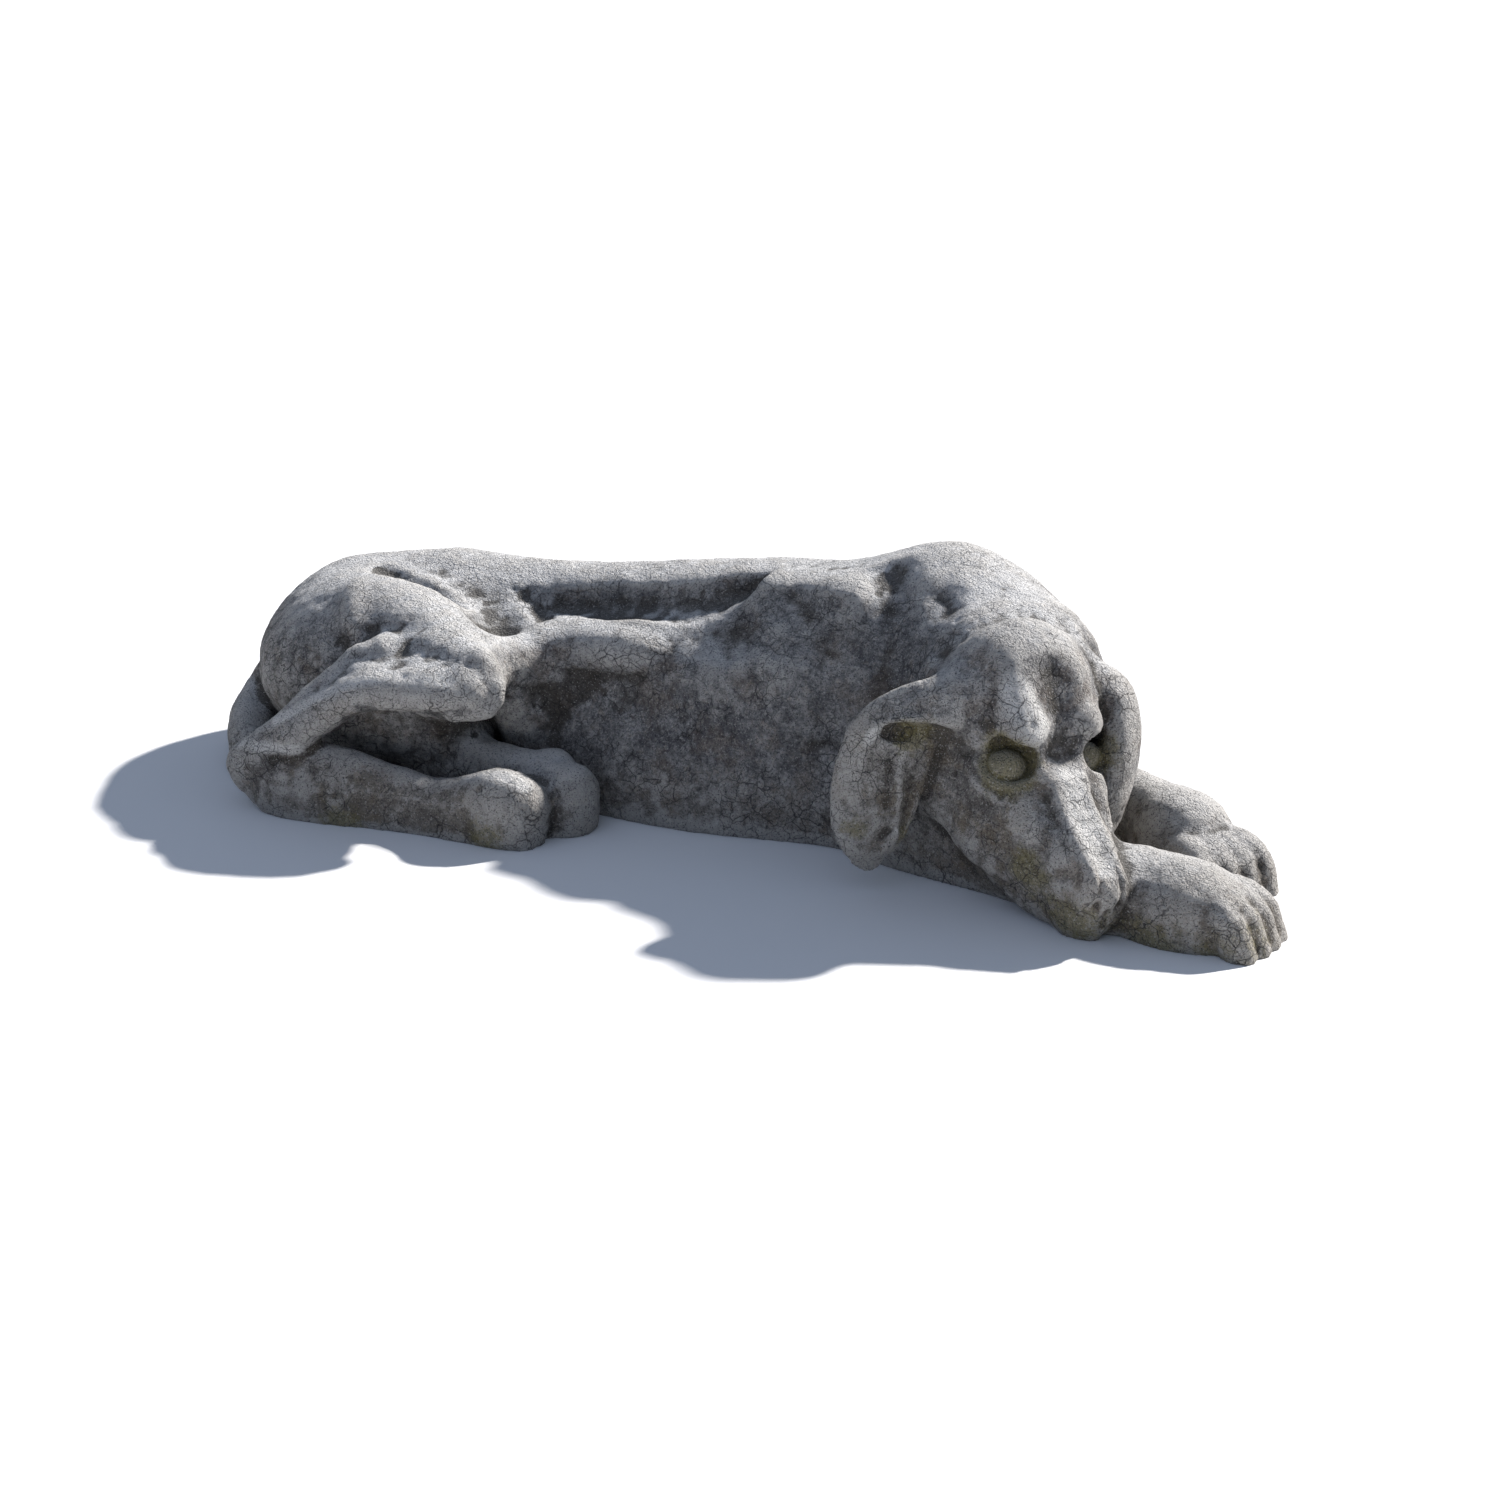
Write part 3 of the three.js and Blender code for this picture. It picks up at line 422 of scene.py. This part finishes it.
def ears(c):
    """Hanging flaps; each lie is the way that the flat of the ear faces."""
    h = head_frame
    near_lie = [0.45, -0.85, 0.25]
    c.add(tube([[194, -110, 150, 24], [178, -116, 132, 34], [167, -119, 100, 37],
                [160, -120, 66, 33], [157, -119, 44, 21]], 5, [near_lie, 0.24]), 7)
    # rolled root, the hollows below it and the rim toward the cheek
    c.add(tube([[*h.at(-66, -46, 8), 30], [208, -100, 159, 21], [181, -113, 147, 15],
                [158, -118, 133, 12]], 4), 16)
    c.carve(ball([191, -131, 140], [22, 15, 11]), 4)
    c.carve(ball([216, -123, 136], [16, 14, 13]), 5)
    c.groove([[236, -112, 152], [214, -124, 153], [190, -133, 155], [166, -135, 146],
              [152, -133, 126]], 6, -5)
    # folds down the flap
    c.groove([[196, -128, 132], [186, -130, 112], [190, -128, 84], [184, -126, 54],
              [168, -122, 34]], 5, -10)
    c.groove([[182, -130, 130], [176, -132, 100], [178, -130, 66], [170, -126, 46]], 6, 9)
    c.groove([[158, -128, 134], [153, -130, 100], [150, -128, 66]], 7, -7)
    c.groove([[220, -124, 136], [207, -124, 121], [199, -122, 104], [193, -120, 82],
              [186, -118, 52]], 5, 12)
    c.carve(ball([206, -100, 44], [17, 16, 13]), 8)
    far_lie = [-0.9, -0.1, 0.3]
    c.add(tube([[*h.at(-82, 46, 22), 20], [322, -12, 146, 26], [334, -20, 118, 33],
                [334, -25, 84, 32], [332, -28, 54, 20]], 5, [far_lie, 0.42]), 10)


def forelegs(c):
    # near one under the chin, then the far one
    c.add(tube([[90, 0, 44, 38], [150, -34, 34, 36], [220, -56, 28, 33], [300, -76, 27, 30],
                [370, -94, 28, 30]], 3), 20)
    c.add(ball([410, -108, 25], [62, 43, 34], euler(-16)), 16)
    toes(c, Local([438, -110, -3], -14), 0.98, 4, 17)
    c.add(tube([[190, 140, 40, 32], [270, 112, 30, 28], [335, 66, 28, 27], [380, 24, 28, 28]],
                3), 20)
    c.add(ball([384, 18, 22], [48, 36, 28], euler(-42)), 16)
    c.swell([376, 24, 50], [46, 36, 22], 9)
    toes(c, Local([409, -3, -7], -40), 1.02, 4, 17)


parts = [torso, far_side, haunch, near_foot, far_foot, tail, neck, head, ears, forelegs]


# skin

def lines(low, high, coarse, fine, band):
    """Grid lines from low to high, close together inside the band."""
    a, b = band
    return np.unique(np.round(np.concatenate([
        np.linspace(low, a, max(2, round((a - low) / coarse) + 1)),
        np.linspace(a, b, round((b - a) / fine) + 1),
        np.linspace(b, high, max(2, round((high - b) / coarse) + 1))]), 4))


def skin(field, xs, ys, zs):
    """Points and four-sided faces of the surface where the field is zero."""
    inside = field < 0
    steps = [np.array(s) for s in np.ndindex(2, 2, 2)]
    n = [k - 1 for k in field.shape]
    count = sum(inside[i:n[0] + i, j:n[1] + j, k:n[2] + k].astype(np.int8) for i, j, k in steps)
    crossed = (count > 0) & (count < 8)
    index = np.full(crossed.shape, -1, np.int64)
    cells = np.argwhere(crossed)
    index[crossed] = np.arange(len(cells))
    values = [field[tuple((cells + s).T)] for s in steps]
    place, number = np.zeros((len(cells), 3)), np.zeros(len(cells))
    for a in range(8):
        for b in range(a + 1, 8):
            if np.abs(steps[a] - steps[b]).sum() != 1:
                continue
            cut = (values[a] < 0) != (values[b] < 0)
            t = np.where(cut, values[a] / np.where(cut, values[a] - values[b], 1), 0)
            place += np.where(cut[:, None], steps[a] + t[:, None] * (steps[b] - steps[a]), 0)
            number += cut
    place /= number[:, None]
    points = np.stack([a[c] + p * (a[c + 1] - a[c])
                       for a, c, p in zip((xs, ys, zs), cells.T, place.T)], 1)
    faces = []
    for axis in range(3):
        front = [slice(None)] * 3
        back = [slice(None)] * 3
        front[axis], back[axis] = slice(0, -1), slice(1, None)
        here, there = inside[tuple(front)], inside[tuple(back)]
        at = np.argwhere(here != there)
        u, v = np.eye(3, dtype=int)[(axis + 1) % 3], np.eye(3, dtype=int)[(axis + 2) % 3]
        quad = np.stack([index[tuple((at - s).T)] for s in (0 * u, u, u + v, v)], 1)
        outward = here[tuple(at.T)]
        quad[~outward] = quad[~outward][:, ::-1]
        faces.append(quad)
    return points, np.vstack(faces)


def to_metres(points):
    """Places in metres from places in modelling units."""
    return (np.asarray(points, float) - MIDDLE) * SCALE


def mesh_of(name, points, faces):
    mesh = bpy.data.meshes.new(name)
    mesh.vertices.add(len(points))
    mesh.vertices.foreach_set("co", np.asarray(points, np.float32).ravel())
    mesh.loops.add(faces.size)
    mesh.loops.foreach_set("vertex_index", faces.astype(np.int32).ravel())
    mesh.polygons.add(len(faces))
    mesh.polygons.foreach_set("loop_start", np.arange(0, faces.size, faces.shape[1], dtype=np.int32))
    mesh.update(calc_edges=True)
    mesh.validate()
    return mesh


def read(items, kind, width, number=np.float32):
    """One row of numbers for each item of a mesh."""
    values = np.zeros(len(items) * width, number)
    items.foreach_get(kind, values)
    return values.reshape(-1, width)


# weathering

LUMP_SEED, WEAR_SEED, CHIP_SEED = 3.1, 7.7, 1.3


def weathering(obj, finish):
    """Wears the skin: lumps, shallow erosion and chips pushed in along the surface."""
    tree = bpy.data.node_groups.new("stone_weathering", "GeometryNodeTree")
    face = tree.interface
    face.new_socket("Geometry", in_out="INPUT", socket_type="NodeSocketGeometry")
    for name, metres in (("Lump depth", 0.0024), ("Lump size", 0.040), ("Wear depth", 0.0015),
                         ("Wear size", 0.014), ("Chip depth", 0.0016), ("Chip size", 0.020),
                         ("Foot clearance", 0.004)):
        size = face.new_socket(name, in_out="INPUT", socket_type="NodeSocketFloat")
        size.default_value = metres
    face.new_socket("Geometry", in_out="OUTPUT", socket_type="NodeSocketGeometry")

    def node(kind, settings=None, values=None):
        made = tree.nodes.new(kind)
        for key, value in (settings or {}).items():
            setattr(made, key, value)
        for key, value in (values or {}).items():
            if isinstance(value, bpy.types.NodeSocket):
                tree.links.new(value, made.inputs[key])
            else:
                made.inputs[key].default_value = value
        return made.outputs[0]

    def maths(operation, a, b=0.0):
        return node("ShaderNodeMath", {"operation": operation}, {0: a, 1: b})

    given = tree.nodes.new("NodeGroupInput").outputs
    place = node("GeometryNodeInputPosition")
    normal = node("GeometryNodeInputNormal")
    lump = node("ShaderNodeTexNoise", {"noise_dimensions": "4D"},
                {"Vector": place, "W": LUMP_SEED, "Scale": maths("DIVIDE", 1.0, given["Lump size"]),
                 "Detail": 2.0})
    wear = node("ShaderNodeTexNoise", {"noise_dimensions": "4D"},
                {"Vector": place, "W": WEAR_SEED, "Scale": maths("DIVIDE", 1.0, given["Wear size"]),
                 "Detail": 3.0, "Roughness": 0.6})
    chip = node("ShaderNodeTexVoronoi", {"voronoi_dimensions": "4D", "feature": "SMOOTH_F1"},
                {"Vector": place, "W": CHIP_SEED, "Scale": maths("DIVIDE", 1.0, given["Chip size"]),
                 "Smoothness": 0.3})
    # a chip is sunk round a cell's middle, out to about a quarter of the cell's size
    deep = maths("MAXIMUM", maths("SUBTRACT", 0.26, chip), 0.0)
    push = maths("ADD", maths("MULTIPLY", maths("SUBTRACT", lump, 0.5), given["Lump depth"]),
                 maths("MULTIPLY", maths("SUBTRACT", wear, 0.5), given["Wear depth"]))
    push = maths("SUBTRACT", maths("MULTIPLY", push, 2.0),
                 maths("MULTIPLY", maths("MULTIPLY", deep, 4.0), given["Chip depth"]))
    # nothing moves at the ground, so the foot stays flat
    height = node("ShaderNodeSeparateXYZ", None, {"Vector": place}).node.outputs["Z"]
    free = node("ShaderNodeClamp", None, {"Value": maths("DIVIDE", height, given["Foot clearance"])})
    offset = node("ShaderNodeVectorMath", {"operation": "SCALE"},
                  {"Vector": normal, "Scale": maths("MULTIPLY", push, free)})
    moved = node("GeometryNodeSetPosition", None, {"Geometry": given["Geometry"], "Offset": offset})
    whole = node("GeometryNodeRealizeInstances", None, {"Geometry": moved})
    done = node("GeometryNodeSetMaterial", None, {"Geometry": whole, "Material": finish})
    out = tree.nodes.new("NodeGroupOutput")
    tree.links.new(done, out.inputs[0])
    modifier = obj.modifiers.new("weathering", "NODES")
    modifier.node_group = tree


def applied(obj, name):
    """The object's mesh with its modifiers worked in, as a plain mesh."""
    bpy.context.view_layer.update()
    graph = bpy.context.evaluated_depsgraph_get()
    mesh = bpy.data.meshes.new_from_object(obj.evaluated_get(graph), depsgraph=graph)
    mesh.name = name
    obj.modifiers.clear()
    return mesh


# stone

class Value:
    """A number that varies over the stone, so that its sums read as sums."""

    def __init__(self, surface, socket):
        self.surface, self.socket = surface, socket

    def sum(self, operation, *terms):
        return self.surface.node("ShaderNodeMath", {"operation": operation}, dict(enumerate(terms)))

    def __add__(self, other):
        return self.sum("ADD", self, other)

    def __sub__(self, other):
        return self.sum("SUBTRACT", self, other)

    def __rsub__(self, other):
        return self.sum("SUBTRACT", other, self)

    def __mul__(self, other):
        return self.sum("MULTIPLY", self, other)

    __radd__ = __add__
    __rmul__ = __mul__

    def over(self, low, high):
        """0 below low, 1 above high, eased between; low may be the larger."""
        return self.surface.node("ShaderNodeMapRange", {"interpolation_type": "SMOOTHSTEP"},
                                 {"Value": self, "From Min": low, "From Max": high})


class Surface:
    """The node tree of one finish."""

    def __init__(self, name):
        self.material = bpy.data.materials.new(name)
        self.material.use_nodes = True
        self.tree = self.material.node_tree
        self.tree.nodes.clear()

    def node(self, kind, settings=None, values=None, out=0):
        """A node of that type with its settings, then the values or links of its sockets."""
        made = self.tree.nodes.new(kind)
        for key, value in (settings or {}).items():
            if key == "stops":
                ramp = made.color_ramp.elements
                while len(ramp) < len(value):
                    ramp.new(0.5)
                for stop, (at, colour) in zip(ramp, value):
                    stop.position, stop.color = at, (*colour, 1)
            else:
                setattr(made, key, value)
        for key, value in (values or {}).items():
            if isinstance(value, Value):
                self.tree.links.new(value.socket, made.inputs[key])
            elif isinstance(value, tuple) and len(value) == 3 and made.inputs[key].type == "RGBA":
                made.inputs[key].default_value = (*value, 1)
            else:
                made.inputs[key].default_value = value
        return Value(self, made.outputs[out]) if made.outputs else None

    def noise(self, place, size, detail=2.0, roughness=0.6):
        """Cloudy values of that size in metres."""
        return self.node("ShaderNodeTexNoise", None,
                         {"Vector": place, "Scale": 1 / size, "Detail": detail, "Roughness": roughness})

    def kept(self, name):
        """A value that is kept on the figure's points."""
        return self.node("ShaderNodeAttribute", {"attribute_name": name}, out=2)

    def mix(self, share, a, b):
        """Colour b over colour a."""
        return self.node("ShaderNodeMix", {"data_type": "RGBA"}, {0: share, 6: a, 7: b}, out=2)


def cast_stone():
    """Grey cast stone left outdoors: tops made paler as painted light and bleaching, brown stain, a net of
    fine cracks, lichen, painted shade in hollows and painted highlights on crests.
    """
    s = Surface("weathered_cast_stone")
    place = s.node("ShaderNodeTexCoord", out=3)
    hollow = s.kept("hollow")
    growth = s.kept("growth")
    earthy = s.kept("earthy")
    sheltered = s.kept("sheltered")
    rubbed = s.kept("rubbed")
    facing = s.node("ShaderNodeSeparateXYZ", None, {0: s.node("ShaderNodeNewGeometry", out=1)}, out=2)
    height = s.node("ShaderNodeSeparateXYZ", None, {0: place}, out=2)

    # a warped place, so that the crack net wanders
    drift = s.node("ShaderNodeTexNoise", None, {"Vector": place, "Scale": 90.0, "Detail": 2.0}, out=1)
    drift = s.node("ShaderNodeVectorMath", {"operation": "SUBTRACT"}, {0: drift, 1: (0.5, 0.5, 0.5)})
    drift = s.node("ShaderNodeVectorMath", {"operation": "SCALE"}, {0: drift, "Scale": 0.009})
    bent = s.node("ShaderNodeVectorMath", {"operation": "ADD"}, {0: place, 1: drift})

    def net(size, width):
        """Thin lines between cells of that size, 1 on the line."""
        edge = s.node("ShaderNodeTexVoronoi", {"feature": "DISTANCE_TO_EDGE"},
                      {"Vector": bent, "Scale": 1 / size, "Randomness": 1.0})
        return edge.over(width / size, 0.2 * width / size)

    wide = net(0.0150, 0.00048)
    fine = net(0.0066, 0.00034)
    open_here = s.noise(place, 0.050, 3.0, 0.65).over(0.40, 0.60)
    cracks = s.node("ShaderNodeMath", {"operation": "MAXIMUM"},
                    {0: wide * (0.25 + 0.75 * open_here), 1: fine * open_here * 0.6})

    # tone of the stone itself
    cloud = s.noise(place, 0.110, 5.0, 0.66)
    patch = s.noise(place, 0.017, 6.0, 0.74)
    grain = s.noise(place, 0.0034, 3.0, 0.8)
    grit = s.noise(place, 0.0015, 1.0, 0.8)
    tone = cloud * 0.30 + patch * 0.38 + grain * 0.32
    colour = s.node("ShaderNodeValToRGB", {"stops": [
        (0.37, (0.045, 0.046, 0.052)), (0.45, (0.120, 0.118, 0.120)),
        (0.52, (0.240, 0.235, 0.232)), (0.60, (0.430, 0.425, 0.415))]}, {0: tone})
    brown = s.noise(place, 0.038, 5.0, 0.72).over(0.48, 0.64)
    colour = s.mix(brown * 0.45, colour, (0.165, 0.126, 0.095))
    tan = s.noise(place, 0.0085, 3.0, 0.75).over(0.55, 0.72)
    colour = s.mix(tan * 0.45, colour, (0.34, 0.29, 0.235))

    # tops facing up made paler, partly painted light and partly sun bleaching, held back where painted
    # shade falls; browner low down
    # painted shade: the paler tops are held back where shadow falls
    top = facing.over(0.52, 0.97) * (1 - 0.75 * sheltered)
    colour = s.mix(top * (0.70 + 0.9 * (patch - 0.5)), colour, (0.70, 0.70, 0.70))
    low = height.over(0.085, 0.0)
    colour = s.mix(low * 0.34, colour, (0.200, 0.160, 0.108))
    colour = s.mix(earthy * (0.34 + 0.40 * brown), colour, (0.165, 0.136, 0.096))

    # painted shade darkening the hollows and folds, painted highlight paling the ridges and the lit crests
    colour = s.mix(hollow.over(0.06, 0.75) * 0.80, colour, (0.050, 0.043, 0.034))
    colour = s.mix(hollow.over(-0.15, -0.75) * 0.50, colour, (0.52, 0.50, 0.47))
    # painted highlight along the lit crests
    lit_crest_share = (rubbed * 0.9 + patch * 0.5 - 0.3).over(0.10, 0.60)
    colour = s.mix(lit_crest_share * 0.7, colour, (0.66, 0.65, 0.63))

    # lichen
    crust = s.noise(place, 0.010, 4.0, 0.8)
    lichen = (growth * 0.9 + crust * 1.2 - 0.62).over(0.30, 0.80)
    green = s.mix((grain - 0.3) * 2.0, (0.110, 0.092, 0.034), (0.270, 0.235, 0.105))
    colour = s.mix(lichen * 0.70, colour, green)

    # specks and cracks
    colour = s.mix(grit.over(0.43, 0.30) * 0.75, colour, (0.035, 0.034, 0.034))
    colour = s.mix(grit.over(0.60, 0.74) * 0.5, colour, (0.58, 0.57, 0.55))
    colour = s.mix(cracks * (0.75 - 0.40 * top), colour, (0.022, 0.021, 0.021))

    # relief, in metres
    relief = grain * 0.0028 + grit * 0.0012 + patch * 0.0030 - cracks * 0.0008
    bump = s.node("ShaderNodeBump", None, {"Strength": 1.0, "Distance": 1.0, "Height": relief})
    rough = 0.80 + patch * 0.16
    shader = s.node("ShaderNodeBsdfPrincipled", None, {
        "Base Color": colour, "Roughness": rough, "Normal": bump,
        "Specular IOR Level": 0.3, "IOR": 1.45})
    s.node("ShaderNodeOutputMaterial", None, {"Surface": shader})
    return s.material


def plain(name, colour, roughness):
    s = Surface(name)
    shader = s.node("ShaderNodeBsdfPrincipled", None, {"Base Color": colour, "Roughness": roughness})
    s.node("ShaderNodeOutputMaterial", None, {"Surface": shader})
    return s.material


# values kept on the figure's points: painted shade and painted highlights, lichen and brown tint

# rounds of smoothing, and the depth in metres that then counts as a full hollow
NEAR_HOLLOWS = (6, 0.0007)
WIDE_HOLLOWS = (30, 0.0026)


def hollows(mesh):
    """How sunken each point lies against its wider surroundings: 1 in a fold, -1 on a ridge."""
    points = read(mesh.vertices, "co", 3).astype(float)
    normals = read(mesh.vertices, "normal", 3)
    edges = read(mesh.edges, "vertices", 2, np.int32)
    a, b = edges[:, 0], edges[:, 1]
    number = len(points)
    share = np.bincount(a, minlength=number) + np.bincount(b, minlength=number)
    marks = np.zeros(number)
    smooth, done = points.copy(), 0
    for rounds, depth in (NEAR_HOLLOWS, WIDE_HOLLOWS):
        while done < rounds:
            total = [np.bincount(a, smooth[b, k], number) + np.bincount(b, smooth[a, k], number)
                     for k in range(3)]
            smooth = np.stack(total, 1) / share[:, None]
            done += 1
        marks += 0.5 * ((smooth - points) * normals).sum(1) / depth
    return np.clip(marks, -1, 1)


def patches(points, rows):
    """Soft patches, each a middle and a reach in modelling units; a negative reach clears one."""
    field = np.zeros(len(points))
    for centre, reach in rows:
        away = ((points - to_metres(centre)) ** 2).sum(1)
        field += np.sign(reach) * np.exp(-away / (reach * SCALE[0]) ** 2)
    return np.clip(field, 0, 1)


def growth(points):
    """Where lichen has settled: eyes, chin, the roots of the ears and the feet near the ground."""
    h = head_frame
    return patches(points, [
        (h.at(-1, -42, 6), 26), (h.at(-1, -42, 6), 22), (h.at(-1, 44, 6), 24), (h.at(106, -12, -62), 30),
        ([204, -126, 138], 20), ([188, -130, 138], 14), ([196, -116, 50], 18), ([460, -130, 4], 34),
        ([400, -140, 2], 28), ([-165, -142, 6], 26), ([-300, -150, 2], 24), (h.at(60, -34, -50), 22),
        ([212, -122, 100], 14), ([150, -130, 60], 16)])


def earthy(points):
    """Where the stone is tinted a darker brown: head, ears, feet."""
    h = head_frame
    return patches(points, [
        (h.at(30, -50, -46), 62), ([172, -122, 90], 62), ([176, -126, 110], 44),
        ([-290, -145, 20], 50), ([-190, -135, 20], 40), ([430, -120, 4], 60), ([280, -70, 10], 60),
        ([-400, -80, 60], 60)])


def sheltered(points):
    """Painted shade: where the paler tops are held back because a shadow falls there although the stone
    faces up: crown, ear, shoulder.
    """
    h = head_frame
    return patches(points, [
        (h.at(-60, -24, 50), 50), (h.at(-6, -34, 40), -18), ([186, -112, 140], 46), ([40, -10, 176], 44),
        ([140, -10, 196], 34), ([-100, 10, 150], 20), ([-330, -40, 150], 26)])


def rubbed(points):
    """Painted highlights along crests where light catches the stone, as soft lines."""
    h = head_frame
    crests = [
        ([[-394, -140, 56], [-372, -146, 60], [-340, -148, 62], [-300, -148, 58], [-262, -146, 50],
          [-226, -144, 46]], 6),
        ([[-218, -140, 52], [-190, -136, 58], [-160, -134, 62], [-134, -136, 56]], 8),
        ([[-364, -140, 84], [-330, -140, 104], [-290, -138, 124], [-250, -130, 130], [-212, -122, 130]], 7),
        ([[178, -130, 142], [166, -132, 140], [156, -130, 124], [150, -130, 96], [148, -128, 66]], 5),
        ([[196, -130, 128], [188, -132, 108], [190, -130, 84], [184, -128, 58]], 4),
        ([h.at(24, 2, 6), h.at(60, 1, -6), h.at(98, 0, -18)], 13),
        ([h.at(-34, -32, 50), h.at(-20, -30, 45), h.at(-6, -24, 36)], 15)]
    field = np.zeros(len(points))
    for crest, reach in crests:
        near = np.full(len(points), 1.0)
        for place in to_metres(spline(crest, 8)):
            near = np.minimum(near, ((points - place) ** 2).sum(1))
        field += np.exp(-near / (reach * SCALE[0]) ** 2)
    return np.clip(field, 0, 1)


def mark(mesh, name, values):
    attribute = mesh.attributes.new(name, "FLOAT", "POINT")
    attribute.data.foreach_set("value", np.asarray(values, np.float32))


# build

xs = lines(-500, 508, COARSE, FINE, (196, 500))
ys = lines(-182, 184, COARSE, FINE, (-172, 24))
zs = lines(-4, 250, COARSE_UP, FINE_UP, (-2, 236))
clay = Clay(xs, ys, zs)
for form in parts:
    form(clay)
clay.floor()
points, faces = skin(clay.field, xs, ys, zs)
rough_mesh = mesh_of("hound_rough", to_metres(points), faces)

stone = cast_stone()
hound = bpy.data.objects.new("hound", rough_mesh)
bpy.context.scene.collection.objects.link(hound)
weathering(hound, stone)
thinned = hound.modifiers.new("thinned", "DECIMATE")
thinned.ratio = min(1.0, TRIANGLES / (2 * len(faces)))
hound.data = applied(hound, "hound")
bpy.data.meshes.remove(rough_mesh)
hound.data.polygons.foreach_set("use_smooth", np.ones(len(hound.data.polygons), bool))
hound.data.set_sharp_from_angle(angle=1.0)
# how sunken each point lies; the stone reads it as painted shade in the folds and painted highlight on the
# ridges
mark(hound.data, "hollow", hollows(hound.data))
places = read(hound.data.vertices, "co", 3)
for name, amount in (("growth", growth), ("earthy", earthy), ("sheltered", sheltered),
                     ("rubbed", rubbed)):
    mark(hound.data, name, amount(places))
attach(hound, "root")
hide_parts("dog")


# floor, lights, camera

FLOOR = 30                     # metres from the middle of the floor to each side
corners = [[-FLOOR, -FLOOR, 0], [FLOOR, -FLOOR, 0], [FLOOR, FLOOR, 0], [-FLOOR, FLOOR, 0]]
floor_mesh = mesh_of("floor", corners, np.array([[0, 1, 2, 3]]))
ground = bpy.data.objects.new("floor", floor_mesh)
ground.data.materials.append(plain("pale_floor", (0.84, 0.84, 0.84), 0.9))
bpy.context.scene.collection.objects.link(ground)


def light(name, kind, toward, strength, colour, size, distance=3.0):
    """A lamp that shines on the figure from the direction toward."""
    data = bpy.data.lights.new(name, kind)
    data.energy, data.color = strength, colour
    if kind == "SUN":
        data.angle = size
    else:
        data.shape, data.size = "DISK", size
    lamp = bpy.data.objects.new(name, data)
    away = Vector(toward).normalized()
    lamp.location = away * distance
    lamp.rotation_euler = away.to_track_quat("Z", "Y").to_euler()
    bpy.context.scene.collection.objects.link(lamp)


light("high_light", "SUN", (0.464, 0.663, 0.588), 7.5, (1.0, 0.965, 0.93), 0.045)
light("fill_light", "AREA", (-0.12, -0.66, 0.78), 6.2, (0.53, 0.63, 1.0), 3.0)

world = bpy.data.worlds.new("studio")
world.use_nodes = True
world.node_tree.nodes["Background"].inputs["Color"].default_value = (0.64, 0.77, 1.0, 1)
world.node_tree.nodes["Background"].inputs["Strength"].default_value = 0.34
bpy.context.scene.world = world
bpy.context.scene.view_settings.view_transform = "Standard"

# the photograph's view: where it looks, from how far, and the way back to the lens
LOOKS_AT = [60, -128, 110]
LOOKS_FROM = 2700
LENS, SENSOR = 81, 36
right, back = Vector((0.9336, 0.3584, 0)), Vector((0.3346, -0.8716, 0.3584))
right.normalize()
back.normalize()
up = back.cross(right)
target = Vector(to_metres(LOOKS_AT))
camera_data = bpy.data.cameras.new("photo_camera")
camera_data.sensor_width = SENSOR
camera_data.lens = LENS
camera = bpy.data.objects.new("photo_camera", camera_data)
place = target + back * (LOOKS_FROM * SCALE[0])
camera.matrix_world = Matrix.Translation(place) @ Matrix((right, up, back)).transposed().to_4x4()
bpy.context.scene.collection.objects.link(camera)
bpy.context.scene.camera = camera
